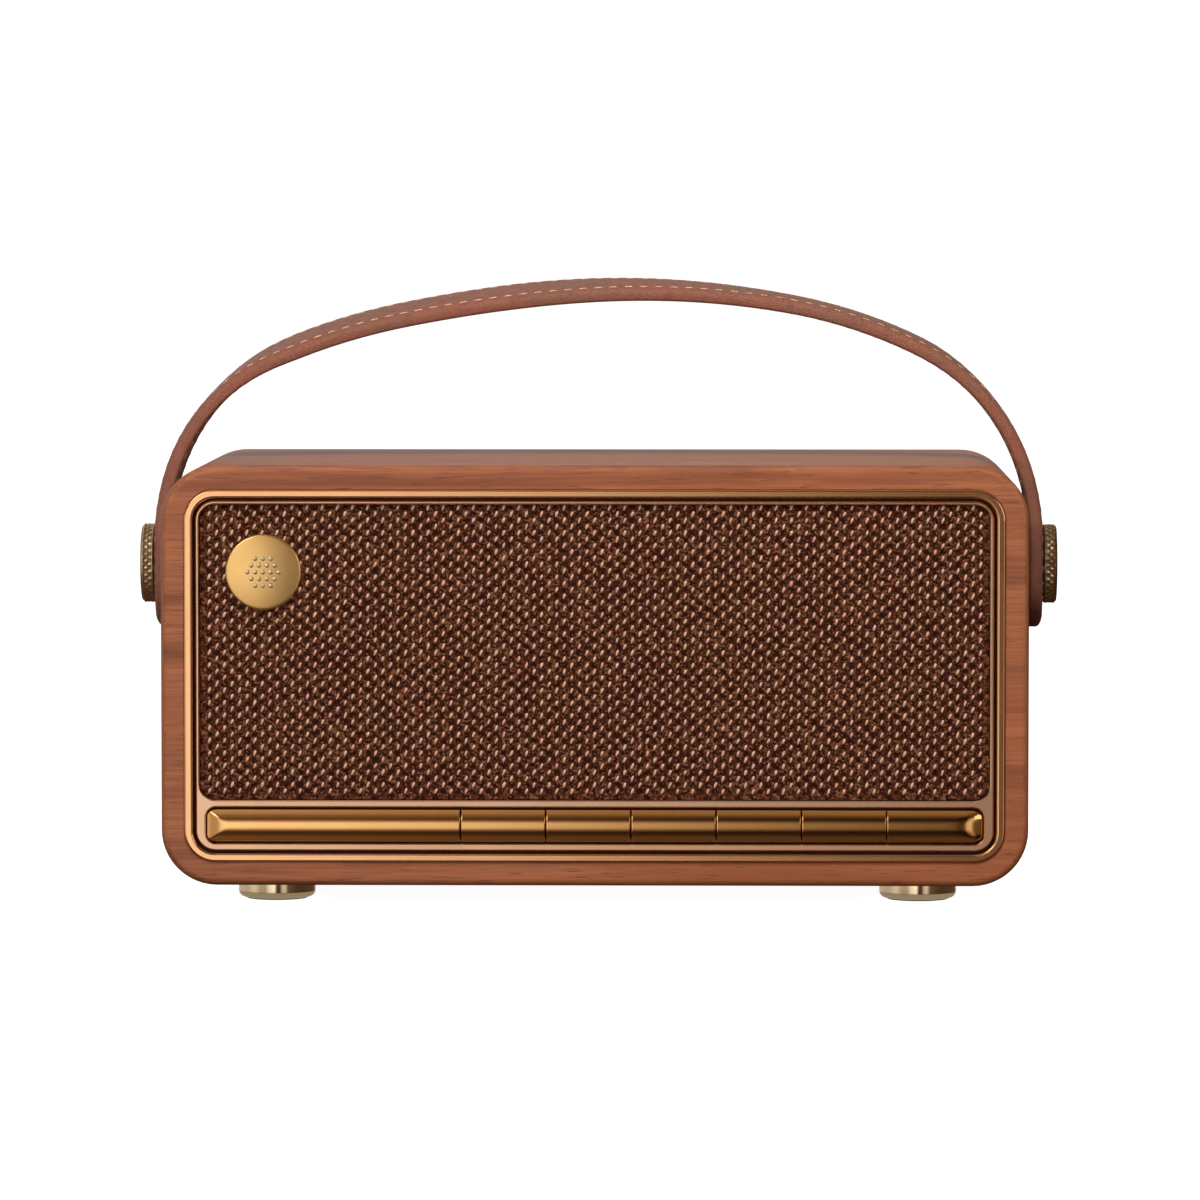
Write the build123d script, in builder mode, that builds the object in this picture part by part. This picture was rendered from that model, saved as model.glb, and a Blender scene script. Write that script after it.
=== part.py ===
"""Portable radio speaker: wooden cabinet, gilt front, woven grille, push keys and a leather handle.

Millimetres. +Z is up, the front faces -Y and +X is to the right of someone facing the front.
The origin lies on the table, under the middle of the cabinet.
"""

import math
import os

from build123d import *

os.makedirs("parts", exist_ok=True)

# ---------------------------------------------------------------- driving dimensions
# Cabinet: a rounded wooden sleeve, open at the front and at the back
BODY_W = 240.0
BODY_H = 116.4
BODY_D = 130.0
BODY_R = 15.5
WALL = 9.0
FOOT_H = 7.0
EDGE_SOFTENING = 2.0
REBATE = 6.0  # depth of the steps that take the front and the rear panel
FIT = 0.2  # gap round a panel in its rebate

# Front: metal frame ring, face plate, cloth, badge and keys
FRAME_W = 227.0
FRAME_H = 103.2
FRAME_R = 8.6
FRAME_RING = 2.4
BEAD_PROUD = 0.7
BEAD_FILLET = 0.6
GROOVE = 0.8
RIM = 1.0
GRILLE_BOTTOM = 30.7
GRILLE_TOP = 112.7
GRILLE_R = 4.5
PLATE_T = 3.0
BAFFLE_T = 3.0
CLOTH_RECESS = 1.6
CLOTH_T = 0.6
BADGE_X = -91.5
BADGE_Z = 93.9
BADGE_R = 10.5

KEY_SLOT_HALF = 107.6
KEY_SLOT_BOTTOM = 18.7
KEY_SLOT_H = 10.1
KEY_H = 9.0
KEY_Z = 23.7
KEY_CROWN = 1.6
KEY_HIP = 6.0
KEY_END_R = 2.4
KEY_GAP = 0.3
KEY_TRAVEL = 1.0
KEY_PITCH = 23.56
KEY_COUNT = 6
KEY_BAR_END = -37.0  # where the fixed bar ends and the first key starts

# Handle: a leather arch of three radii on two knobs
AXIS_Z = 93.2
HANDLE_TOP = 174.4
CROWN_R = 278.0
HAUNCH_R = 151.6
SHOULDER_R = 61.4
CROWN_ANGLE = 11.45
HAUNCH_ANGLE = 26.02
STRAP_T = 4.4
LINING_T = 1.7
CORE_T = 0.8
CORE_HALF = 8.0
STRAP_HALF_TOP = 11.5
STRAP_HALF_END = 14.0
STRAP_END_Z = 75.2
KNOB_R = 11.25
KNOB_T = 3.9
STUD_R = 3.0
INSERT_R = 5.0
TURNING_GAP = 0.1
SHAFT_GAP = 0.05

# Feet
FOOT_X = 90.3
FOOT_Y = 26.0
FOOT_R = 10.8

# Loudspeakers
DRIVER_Z = (GRILLE_BOTTOM + GRILLE_TOP) / 2
BOSS = 4.0
WOOFER_R = 38.0
WOOFER_HOLE_R = 33.0
TWEETER_X = 74.0
TWEETER_R = 23.0
TWEETER_HOLE_R = 17.0

# Back
REAR_PANEL_T = 3.0
GASKET_T = 1.5
PORT_X = -60.0
PORT_Z = 72.0
PORT_R = 12.0
SOCKETS_X = 60.0
SOCKETS_Z = 48.0
JACK_R = 1.8
SCREW_R = 1.5

# ---------------------------------------------------------------- derived places
BODY_Z = FOOT_H + BODY_H / 2
FRONT = -BODY_D / 2
BACK = BODY_D / 2
CAVITY_W = BODY_W - 2 * WALL
CAVITY_H = BODY_H - 2 * WALL
CAVITY_R = BODY_R - WALL
BAFFLE_BACK = FRONT + REBATE
BAFFLE_FRONT = BAFFLE_BACK - BAFFLE_T
PLATE_W = FRAME_W - 2 * (FRAME_RING + GROOVE)
PLATE_H = FRAME_H - 2 * (FRAME_RING + GROOVE)
PLATE_R = FRAME_R - FRAME_RING - GROOVE
GRILLE_W = PLATE_W - 2 * RIM
GRILLE_H = GRILLE_TOP - GRILLE_BOTTOM
CLOTH_FRONT = FRONT + CLOTH_RECESS
CLOTH_BACK = CLOTH_FRONT + CLOTH_T
KEY_BACK = BAFFLE_FRONT - KEY_TRAVEL - 0.2
KEY_EDGE = FRONT + 0.2
KEY_ROW_HALF = KEY_SLOT_HALF - 0.3
DRIVER_Y = BAFFLE_BACK + BOSS
PANEL_FRONT = BACK - REBATE + GASKET_T
PANEL_BACK = PANEL_FRONT + REAR_PANEL_T
SIDE = BODY_W / 2


def save(piece, name):
    """Labels a finished sub-part and writes its STEP file."""
    piece.part.label = name
    export_step(piece.part, f"parts/{name}.step")


def front(y):
    """Plane across the cabinet at depth y: local x is X, local y is Z, and it faces the front."""
    return Plane(origin=(0, y, 0), x_dir=(1, 0, 0), z_dir=(0, -1, 0))


def depth_plane(x, z):
    """Half-section plane of a part turned about a Y axis: local x is radius, local y is -Y."""
    return Plane(origin=(x, 0, z), x_dir=(1, 0, 0), z_dir=(0, 0, -1))


def depth_axis(x, z):
    """The Y-parallel axis that goes with depth_plane."""
    return Axis((x, 0, z), (0, 1, 0))


def outline(*points):
    """Closed straight-sided face in the current sketch."""
    Polygon(*points, align=None)


# ---------------------------------------------------------------- cabinet
BLOCK = 14.0
BLOCK_L = 16.0
SCREW_X = CAVITY_W / 2 - BLOCK / 2
SCREW_Z = CAVITY_H / 2 - BLOCK / 2
rear_screw_places = [(x, BODY_Z + z) for x in (-SCREW_X, 0, SCREW_X) for z in (-SCREW_Z, SCREW_Z)]
foot_places = {
    "front_left": (-FOOT_X, -FOOT_Y),
    "front_right": (FOOT_X, -FOOT_Y),
    "rear_left": (-FOOT_X, FOOT_Y),
    "rear_right": (FOOT_X, FOOT_Y),
}

with BuildPart() as cabinet:
    with BuildSketch(front(FRONT)):
        with Locations((0, BODY_Z)):
            RectangleRounded(BODY_W, BODY_H, BODY_R)
    extrude(amount=-BODY_D)
    end_faces = cabinet.faces().filter_by(Axis.Y)
    fillet(end_faces.edges(), EDGE_SOFTENING)
    with BuildSketch(front(FRONT)):
        with Locations((0, BODY_Z)):
            RectangleRounded(CAVITY_W, CAVITY_H, CAVITY_R)
    extrude(amount=-BODY_D, mode=Mode.SUBTRACT)
    with BuildSketch(front(FRONT)):
        with Locations((0, BODY_Z)):
            RectangleRounded(FRAME_W + FIT, FRAME_H + FIT, FRAME_R + FIT / 2)
    extrude(amount=-REBATE, mode=Mode.SUBTRACT)
    with BuildSketch(front(BACK)):
        with Locations((0, BODY_Z)):
            RectangleRounded(FRAME_W + FIT, FRAME_H + FIT, FRAME_R + FIT / 2)
    extrude(amount=REBATE, mode=Mode.SUBTRACT)
    with Locations((0, 0, AXIS_Z)):
        Cylinder(INSERT_R + SHAFT_GAP, BODY_W + 2, rotation=(0, 90, 0), mode=Mode.SUBTRACT)
    with BuildSketch(Plane.XY.offset(FOOT_H)):
        with Locations(*foot_places.values()):
            Circle(2.0 + SHAFT_GAP)
    extrude(amount=WALL, mode=Mode.SUBTRACT)
save(cabinet, "cabinet")

with BuildPart() as corner_blocks:
    with BuildSketch(front(BACK - REBATE)):
        with Locations(*rear_screw_places):
            Rectangle(BLOCK, BLOCK)
    extrude(amount=BLOCK_L)
    with BuildSketch(front(BACK)):
        with Locations((0, BODY_Z)):
            RectangleRounded(CAVITY_W, CAVITY_H, CAVITY_R)
    extrude(amount=BODY_D, mode=Mode.INTERSECT)
    with BuildSketch(front(BACK - REBATE)):
        with Locations(*rear_screw_places):
            Circle(SCREW_R + SHAFT_GAP)
    extrude(amount=BLOCK_L - 3, mode=Mode.SUBTRACT)
save(corner_blocks, "corner_blocks")

# ---------------------------------------------------------------- front frame and face plate
with BuildPart() as front_frame:
    with BuildSketch(front(BAFFLE_FRONT)):
        with Locations((0, BODY_Z)):
            RectangleRounded(FRAME_W, FRAME_H, FRAME_R)
            RectangleRounded(
                FRAME_W - 2 * FRAME_RING,
                FRAME_H - 2 * FRAME_RING,
                FRAME_R - FRAME_RING,
                mode=Mode.SUBTRACT,
            )
    extrude(amount=BAFFLE_FRONT - FRONT + BEAD_PROUD)
    bead_face = front_frame.faces().sort_by(Axis.Y)[0]
    fillet(bead_face.edges(), BEAD_FILLET)
save(front_frame, "front_frame")

with BuildPart() as face_plate:
    with BuildSketch(front(BAFFLE_FRONT)):
        with Locations((0, BODY_Z)):
            RectangleRounded(PLATE_W, PLATE_H, PLATE_R)
        with Locations((0, DRIVER_Z)):
            RectangleRounded(GRILLE_W, GRILLE_H, GRILLE_R, mode=Mode.SUBTRACT)
        with Locations((0, KEY_SLOT_BOTTOM + KEY_SLOT_H / 2)):
            RectangleRounded(2 * KEY_SLOT_HALF, KEY_SLOT_H, KEY_END_R + 0.5, mode=Mode.SUBTRACT)
    extrude(amount=PLATE_T)
    plate_face = face_plate.faces().sort_by(Axis.Y)[0]
    chamfer(plate_face.edges(), 0.35)
save(face_plate, "face_plate")

# ---------------------------------------------------------------- baffle board behind the face
key_edges = [KEY_BAR_END + KEY_PITCH * i for i in range(KEY_COUNT)] + [KEY_ROW_HALF]
key_centres = [(a + b) / 2 for a, b in zip(key_edges, key_edges[1:])]
STEM_W = 6.0
STEM_H = 2.5
POST_R = 2.6
post_places = [(x, KEY_Z) for x in (KEY_BAR_END - 4, key_edges[2], key_edges[4], 105.0)]
bar_pin_places = [(-97.0, KEY_Z), (-52.0, KEY_Z)]
drivers = {"woofer": (0, WOOFER_R, WOOFER_HOLE_R)}
drivers["tweeter_left"] = (-TWEETER_X, TWEETER_R, TWEETER_HOLE_R)
drivers["tweeter_right"] = (TWEETER_X, TWEETER_R, TWEETER_HOLE_R)
driver_screw_places = []
for x, rim_r, hole_r in drivers.values():
    circle_r = (rim_r + hole_r) / 2
    for angle in (45, 135, 225, 315):
        turn = math.radians(angle)
        driver_screw_places.append((x + circle_r * math.cos(turn), DRIVER_Z + circle_r * math.sin(turn)))
DRIVER_SCREW_R = 1.1

with BuildPart() as front_baffle:
    with BuildSketch(front(BAFFLE_BACK)):
        with Locations((0, BODY_Z)):
            RectangleRounded(FRAME_W, FRAME_H, FRAME_R)
    extrude(amount=BAFFLE_T)
    with BuildSketch(front(DRIVER_Y)):
        for x, rim_r, hole_r in drivers.values():
            with Locations((x, DRIVER_Z)):
                Circle(rim_r + 0.5)
    extrude(amount=BOSS)
    with BuildSketch(front(BAFFLE_BACK)):
        with Locations(*post_places):
            Circle(POST_R)
    extrude(amount=-9)
    with BuildSketch(front(DRIVER_Y)):
        for x, rim_r, hole_r in drivers.values():
            with Locations((x, DRIVER_Z)):
                Circle(hole_r)
    extrude(amount=BOSS + BAFFLE_T, mode=Mode.SUBTRACT)
    with BuildSketch(front(DRIVER_Y)):
        with Locations(*driver_screw_places):
            Circle(DRIVER_SCREW_R + SHAFT_GAP)
    extrude(amount=BOSS + 1, mode=Mode.SUBTRACT)
    with BuildSketch(front(BAFFLE_BACK)):
        with Locations(*[(x, KEY_Z) for x in key_centres]):
            Rectangle(STEM_W + 1, STEM_H + 1)
        with Locations(*bar_pin_places):
            Circle(1.5 + SHAFT_GAP)
        with Locations((BADGE_X, BADGE_Z)):
            Circle(1.5 + SHAFT_GAP)
    extrude(amount=BAFFLE_T, mode=Mode.SUBTRACT)
    with BuildSketch(front(BAFFLE_BACK + 9)):
        with Locations(*post_places):
            Circle(0.9 + SHAFT_GAP)
    extrude(amount=7, mode=Mode.SUBTRACT)
save(front_baffle, "front_baffle")

# ---------------------------------------------------------------- grille and badge
GRILLE_FIT = 0.4
with BuildPart() as grille_frame:
    with BuildSketch(front(BAFFLE_FRONT)):
        with Locations((0, DRIVER_Z)):
            RectangleRounded(GRILLE_W - GRILLE_FIT, GRILLE_H - GRILLE_FIT, GRILLE_R)
            with GridLocations(19.5, 19.0, 11, 4):
                RectangleRounded(16.5, 16.0, 2, mode=Mode.SUBTRACT)
        with Locations((BADGE_X, BADGE_Z)):
            Circle(4.5)
            Circle(1.5 + SHAFT_GAP, mode=Mode.SUBTRACT)
    extrude(amount=BAFFLE_FRONT - CLOTH_BACK)
save(grille_frame, "grille_frame")

with BuildPart() as grille_cloth:
    with BuildSketch(front(CLOTH_BACK)):
        with Locations((0, DRIVER_Z)):
            RectangleRounded(GRILLE_W - GRILLE_FIT, GRILLE_H - GRILLE_FIT, GRILLE_R)
        with Locations((BADGE_X, BADGE_Z)):
            Circle(1.5 + SHAFT_GAP, mode=Mode.SUBTRACT)
    extrude(amount=CLOTH_T)
save(grille_cloth, "grille_cloth")

BADGE_T = 1.4
BADGE_DOME = 0.6
with BuildPart() as badge:
    with BuildSketch(depth_plane(BADGE_X, BADGE_Z)):
        with BuildLine():
            rim_bottom = (BADGE_R, -CLOTH_FRONT)
            rim_top = (BADGE_R, -CLOTH_FRONT + BADGE_T)
            crown = (0, -CLOTH_FRONT + BADGE_T + BADGE_DOME)
            dome_r = (BADGE_R**2 + BADGE_DOME**2) / (2 * BADGE_DOME)
            half_turn = math.asin(BADGE_R / dome_r) / 2
            over = (dome_r * math.sin(half_turn), crown[1] - dome_r * (1 - math.cos(half_turn)))
            pin_corners = ((0, -BAFFLE_BACK), (1.5, -BAFFLE_BACK), (1.5, -CLOTH_FRONT))
            Polyline(crown, *pin_corners, rim_bottom, rim_top)
            ThreePointArc(rim_top, over, crown)
        make_face()
    revolve(axis=depth_axis(BADGE_X, BADGE_Z))
save(badge, "badge")

# ---------------------------------------------------------------- key row
hip_r = (KEY_HIP**2 + KEY_CROWN**2) / (2 * KEY_CROWN)
hip_half = math.asin(KEY_HIP / hip_r) / 2
hip_x = KEY_HIP - hip_r * math.sin(hip_half)
hip_y = hip_r * (1 - math.cos(hip_half))
KEY_APEX = KEY_EDGE - KEY_CROWN

with BuildPart() as key_row:
    with BuildSketch(front(KEY_BACK)):
        with Locations((0, KEY_Z)):
            RectangleRounded(2 * KEY_ROW_HALF, KEY_H, KEY_END_R)
    extrude(amount=KEY_BACK - KEY_APEX + 1)
    with BuildSketch(Plane.YZ.offset(-SIDE)):
        with BuildLine():
            low = (KEY_EDGE, KEY_Z - KEY_H / 2)
            high = (KEY_EDGE, KEY_Z + KEY_H / 2)
            ThreePointArc(low, (KEY_APEX, KEY_Z), high)
            Polyline(high, (KEY_BACK, high[1]), (KEY_BACK, low[1]), low)
        make_face()
    extrude(amount=BODY_W, mode=Mode.INTERSECT)
    with BuildSketch(Plane.XY.offset(KEY_Z - KEY_H)):
        with BuildLine():
            end = KEY_ROW_HALF
            flat = KEY_ROW_HALF - KEY_HIP
            ThreePointArc((-end, KEY_EDGE), (-end + hip_x, KEY_APEX + hip_y), (-flat, KEY_APEX))
            Line((-flat, KEY_APEX), (flat, KEY_APEX))
            ThreePointArc((flat, KEY_APEX), (end - hip_x, KEY_APEX + hip_y), (end, KEY_EDGE))
            Polyline((end, KEY_EDGE), (end, KEY_BACK), (-end, KEY_BACK), (-end, KEY_EDGE))
        make_face()
    extrude(amount=2 * KEY_H, mode=Mode.INTERSECT)

CUT_DEPTH = 12.0
with BuildPart() as key_bar:
    add(key_row.part)
    with BuildSketch(front(KEY_BACK)):
        with Locations((0, KEY_Z)):
            RectangleRounded(2 * KEY_ROW_HALF, KEY_H, KEY_END_R)
    extrude(amount=KEY_BACK - BAFFLE_FRONT)
    with BuildSketch(front(FRONT - CUT_DEPTH)):
        with Locations(((KEY_BAR_END - KEY_GAP / 2 - SIDE) / 2, KEY_Z)):
            Rectangle(SIDE + KEY_BAR_END - KEY_GAP / 2, 3 * KEY_H)
    extrude(amount=-2 * CUT_DEPTH, mode=Mode.INTERSECT)
    with BuildSketch(front(BAFFLE_FRONT)):
        with Locations(*bar_pin_places):
            Circle(1.5)
    extrude(amount=-(BAFFLE_T - 0.2))
save(key_bar, "key_bar")

STEM_END = BAFFLE_BACK + 3.8
COLLAR_W = 8.4
for number, (left, right) in enumerate(zip(key_edges, key_edges[1:]), start=1):
    middle = (left + right) / 2
    with BuildPart() as key:
        add(key_row.part)
        with BuildSketch(front(FRONT - CUT_DEPTH)):
            with Locations((middle, KEY_Z)):
                Rectangle(right - left - KEY_GAP * (1 if number < KEY_COUNT else 0.5), 3 * KEY_H)
        extrude(amount=-2 * CUT_DEPTH, mode=Mode.INTERSECT)
        with BuildSketch(front(KEY_BACK)):
            with Locations((middle, KEY_Z)):
                Rectangle(STEM_W, STEM_H)
        extrude(amount=KEY_BACK - STEM_END)
        with BuildSketch(front(BAFFLE_BACK + SHAFT_GAP)):
            with Locations((middle, KEY_Z)):
                Rectangle(COLLAR_W, STEM_H)
        extrude(amount=-1.5)
    save(key, f"key_{number}")

KEY_BOARD_Y = BAFFLE_BACK + 9.0
SWITCH_FACE = STEM_END + KEY_TRAVEL + 0.1
BOARD_T = 1.6
with BuildPart() as key_switches:
    with BuildSketch(front(KEY_BOARD_Y)):
        with Locations(*[(x, KEY_Z) for x in key_centres]):
            Rectangle(6, 6)
    extrude(amount=KEY_BOARD_Y - SWITCH_FACE - 0.7)
    with BuildSketch(front(KEY_BOARD_Y)):
        with Locations(*[(x, KEY_Z) for x in key_centres]):
            Circle(1.7)
    extrude(amount=KEY_BOARD_Y - SWITCH_FACE)
save(key_switches, "key_switches")

key_board_middle = (post_places[0][0] + post_places[-1][0]) / 2
with BuildPart() as key_board:
    with BuildSketch(front(KEY_BOARD_Y)):
        with Locations((key_board_middle, KEY_Z)):
            Rectangle(post_places[-1][0] - post_places[0][0] + 8, 11)
        with Locations(*post_places):
            Circle(1.1, mode=Mode.SUBTRACT)
    extrude(amount=-BOARD_T)
save(key_board, "key_board")

with BuildPart() as key_board_screws:
    with BuildSketch(front(KEY_BOARD_Y + BOARD_T)):
        with Locations(*post_places):
            Circle(2.0)
    extrude(amount=-1.2)
    with BuildSketch(front(KEY_BOARD_Y + BOARD_T)):
        with Locations(*post_places):
            Circle(0.9)
    extrude(amount=BOARD_T + 5)
save(key_board_screws, "key_board_screws")

# ---------------------------------------------------------------- loudspeakers
FLANGE_T = 1.6
flange_front = -DRIVER_Y  # local heights in depth_plane: minus Y, so they shrink towards the back
CONE_RIM_R = 26.0
COIL_R = 10.6
CONE_DEEP = flange_front - 11.0
BASKET_DEEP = flange_front - 17.0
LEDGE = BASKET_DEEP + 4.0
MAGNET_TOP = BASKET_DEEP - FLANGE_T

with BuildPart() as woofer_basket:
    with BuildSketch(depth_plane(0, DRIVER_Z)):
        outline(
            (31, flange_front),
            (WOOFER_R, flange_front),
            (WOOFER_R, flange_front - FLANGE_T),
            (32.3, flange_front - FLANGE_T),
            (24.2, BASKET_DEEP),
            (24.2, MAGNET_TOP),
            (12, MAGNET_TOP),
            (12, BASKET_DEEP),
            (23, BASKET_DEEP),
            (24.6, LEDGE - 1),
            (21.5, LEDGE - 1),
            (21.5, LEDGE),
            (25.1, LEDGE),
            (31, flange_front - FLANGE_T),
        )
    revolve(axis=depth_axis(0, DRIVER_Z))
    with BuildSketch(front(DRIVER_Y + 3)):
        with Locations((0, DRIVER_Z)):
            with PolarLocations(28, 6, start_angle=30):
                RectangleRounded(15, 15, 3)
    extrude(amount=-7, mode=Mode.SUBTRACT)
    with BuildSketch(front(DRIVER_Y)):
        with Locations(*driver_screw_places[:4]):
            Circle(DRIVER_SCREW_R + 0.2)
    extrude(amount=-FLANGE_T, mode=Mode.SUBTRACT)
save(woofer_basket, "woofer_basket")

with BuildPart() as woofer_magnet:
    with BuildSketch(depth_plane(0, DRIVER_Z)):
        outline(
            (COIL_R + 0.8, MAGNET_TOP),
            (24, MAGNET_TOP),
            (24, MAGNET_TOP - 12.4),
            (22, MAGNET_TOP - 12.4),
            (22, MAGNET_TOP - 15.4),
            (0, MAGNET_TOP - 15.4),
            (0, MAGNET_TOP),
            (COIL_R - 1.0, MAGNET_TOP),
            (COIL_R - 1.0, MAGNET_TOP - 12.4),
            (COIL_R + 0.8, MAGNET_TOP - 12.4),
        )
    revolve(axis=depth_axis(0, DRIVER_Z))
save(woofer_magnet, "woofer_magnet")

CONE_T = 0.7
with BuildPart() as woofer_cone:
    with BuildSketch(depth_plane(0, DRIVER_Z)):
        outline(
            (CONE_RIM_R, flange_front),
            (CONE_RIM_R, flange_front - CONE_T),
            (COIL_R, CONE_DEEP - CONE_T),
            (COIL_R, MAGNET_TOP - 3.5),
            (COIL_R - 0.4, MAGNET_TOP - 3.5),
            (COIL_R - 0.4, CONE_DEEP),
            (CONE_RIM_R - 2, flange_front),
        )
    revolve(axis=depth_axis(0, DRIVER_Z))
save(woofer_cone, "woofer_cone")

CAP_R = 12.4
CAP_BASE = CONE_DEEP + 2.0
CAP_H = 4.0


def dome_shell(radius, height, base, thickness):
    """Half outline of a thin dome over the axis: two arcs about one centre."""
    sphere_r = (radius**2 + height**2) / (2 * height)
    middle = Vector(0, base + height - sphere_r)
    low = 90 - math.degrees(math.asin(radius / sphere_r))
    rim = Vector(math.cos(math.radians(low)), math.sin(math.radians(low)))
    for r in (sphere_r, sphere_r - thickness):
        CenterArc(middle, r, low, 90 - low)
    Line(middle + rim * sphere_r, middle + rim * (sphere_r - thickness))
    Line(middle + Vector(0, sphere_r), middle + Vector(0, sphere_r - thickness))


with BuildPart() as woofer_dust_cap:
    with BuildSketch(depth_plane(0, DRIVER_Z)):
        with BuildLine():
            dome_shell(CAP_R, CAP_H, CAP_BASE, 0.6)
        make_face()
    revolve(axis=depth_axis(0, DRIVER_Z))
save(woofer_dust_cap, "woofer_dust_cap")

ROLL_R = 2.4
with BuildPart() as woofer_surround:
    with BuildSketch(depth_plane(0, DRIVER_Z)):
        with Locations((28.6, flange_front + 0.05)):
            Circle(ROLL_R)
            Circle(ROLL_R - 0.5, mode=Mode.SUBTRACT)
            Rectangle(3 * ROLL_R, ROLL_R, align=(Align.CENTER, Align.MAX), mode=Mode.SUBTRACT)
        with Locations((24.4, flange_front + 0.05)):
            Rectangle(2.1, 0.5, align=(Align.MIN, Align.MIN))
        with Locations((30.7, flange_front + 0.05)):
            Rectangle(2.1, 0.5, align=(Align.MIN, Align.MIN))
    revolve(axis=depth_axis(0, DRIVER_Z))
save(woofer_surround, "woofer_surround")

with BuildPart() as woofer_spider:
    with BuildSketch(depth_plane(0, DRIVER_Z)):
        with Locations((COIL_R + 0.05, LEDGE + 0.05)):
            Rectangle(24.5 - COIL_R, 0.4, align=(Align.MIN, Align.MIN))
    revolve(axis=depth_axis(0, DRIVER_Z))
save(woofer_spider, "woofer_spider")

DOME_R = 11.4
TWEETER_FACE = flange_front - FLANGE_T
for side, x in (("left", -TWEETER_X), ("right", TWEETER_X)):
    with BuildPart() as tweeter_frame:
        with BuildSketch(depth_plane(x, DRIVER_Z)):
            outline(
                (DOME_R + 1.2, flange_front),
                (TWEETER_R, flange_front),
                (TWEETER_R, TWEETER_FACE),
                (17, TWEETER_FACE),
                (17, TWEETER_FACE - 15),
                (0, TWEETER_FACE - 15),
                (0, TWEETER_FACE),
                (DOME_R - 1.2, TWEETER_FACE),
                (DOME_R - 1.2, TWEETER_FACE - 6),
                (DOME_R + 1.2, TWEETER_FACE - 6),
            )
        revolve(axis=depth_axis(x, DRIVER_Z))
        with BuildSketch(front(DRIVER_Y)):
            with Locations(*[place for place in driver_screw_places[4:] if place[0] * x > 0]):
                Circle(DRIVER_SCREW_R + 0.2)
        extrude(amount=-FLANGE_T, mode=Mode.SUBTRACT)
    save(tweeter_frame, f"tweeter_{side}_frame")

    with BuildPart() as tweeter_dome:
        with BuildSketch(depth_plane(x, DRIVER_Z)):
            with BuildLine():
                dome_shell(DOME_R, 4.0, flange_front - 0.6, 0.4)
            make_face()
            with Locations((DOME_R - 0.5, flange_front - 0.5)):
                Rectangle(0.4, 5.0, align=(Align.MIN, Align.MAX))
        revolve(axis=depth_axis(x, DRIVER_Z))
    save(tweeter_dome, f"tweeter_{side}_dome")

with BuildPart() as driver_screws:
    with BuildSketch(front(DRIVER_Y + FLANGE_T)):
        with Locations(*driver_screw_places):
            Circle(2.0)
    extrude(amount=-1.3)
    with BuildSketch(front(DRIVER_Y + FLANGE_T)):
        with Locations(*driver_screw_places):
            Circle(DRIVER_SCREW_R)
    extrude(amount=FLANGE_T + BOSS)
save(driver_screws, "driver_screws")

# ---------------------------------------------------------------- back panel, port and sockets
SOCKET_PLATE_W = 46.0
SOCKET_PLATE_H = 22.0
USB_W = 9.0
USB_H = 3.3
USB_X = SOCKETS_X - 11
JACK_X = SOCKETS_X + 11
NECK_R = 3.2
PORT_OUTER_R = PORT_R + 2

with BuildPart() as rear_panel:
    with BuildSketch(front(PANEL_BACK)):
        with Locations((0, BODY_Z)):
            RectangleRounded(FRAME_W, FRAME_H, FRAME_R)
        with Locations(*rear_screw_places):
            Circle(SCREW_R + 0.2, mode=Mode.SUBTRACT)
        with Locations((PORT_X, PORT_Z)):
            Circle(PORT_OUTER_R + SHAFT_GAP, mode=Mode.SUBTRACT)
        with Locations((USB_X, SOCKETS_Z)):
            SlotOverall(USB_W + 0.6, USB_H + 0.6, mode=Mode.SUBTRACT)
        with Locations((JACK_X, SOCKETS_Z)):
            Circle(NECK_R + 0.2, mode=Mode.SUBTRACT)
    extrude(amount=REAR_PANEL_T)
    outer_face = rear_panel.faces().sort_by(Axis.Y)[-1]
    chamfer(outer_face.outer_wire().edges(), 0.5)
save(rear_panel, "rear_panel")

with BuildPart() as rear_gasket:
    with BuildSketch(front(PANEL_FRONT)):
        with Locations((0, BODY_Z)):
            RectangleRounded(FRAME_W, FRAME_H, FRAME_R)
            RectangleRounded(CAVITY_W - 2, CAVITY_H - 2, CAVITY_R - 1, mode=Mode.SUBTRACT)
    extrude(amount=GASKET_T)
save(rear_gasket, "rear_gasket")

SCREW_HEAD_R = 2.9
with BuildPart() as rear_screws:
    with BuildSketch(front(PANEL_BACK)):
        with Locations(*rear_screw_places):
            Circle(SCREW_HEAD_R)
    extrude(amount=-1.3)
    head_faces = rear_screws.faces().filter_by(Axis.Y).group_by(Axis.Y)[-1]
    fillet(head_faces.edges(), 0.5)
    with BuildSketch(front(PANEL_BACK)):
        with Locations(*rear_screw_places):
            Circle(SCREW_R)
    extrude(amount=REAR_PANEL_T + GASKET_T + 11)
    with BuildSketch(front(PANEL_BACK + 1.3)):
        with Locations(*rear_screw_places):
            Rectangle(2.6, 0.7)
            Rectangle(0.7, 2.6)
    extrude(amount=0.7, mode=Mode.SUBTRACT)
save(rear_screws, "rear_screws")

PORT_L = 38.0
PORT_LIP = 1.2
with BuildPart() as port_tube:
    with BuildSketch(depth_plane(PORT_X, PORT_Z)):
        with BuildLine():
            lip = -(PANEL_BACK + PORT_LIP)
            inner_end = -(PANEL_BACK - PORT_L)
            flare = 4.0
            flare_edge = (PORT_R + flare, lip)
            flare_root = (PORT_R, lip + flare)
            flare_middle = (PORT_R + flare * (1 - math.sqrt(0.5)), lip + flare * (1 - math.sqrt(0.5)))
            ThreePointArc(flare_edge, flare_middle, flare_root)
            Polyline(
                flare_root,
                (PORT_R, inner_end),
                (PORT_OUTER_R, inner_end),
                (PORT_OUTER_R, -PANEL_BACK),
                (PORT_R + flare + 1.5, -PANEL_BACK),
                (PORT_R + flare + 1.5, lip),
                flare_edge,
            )
        make_face()
    revolve(axis=depth_axis(PORT_X, PORT_Z))
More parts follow.
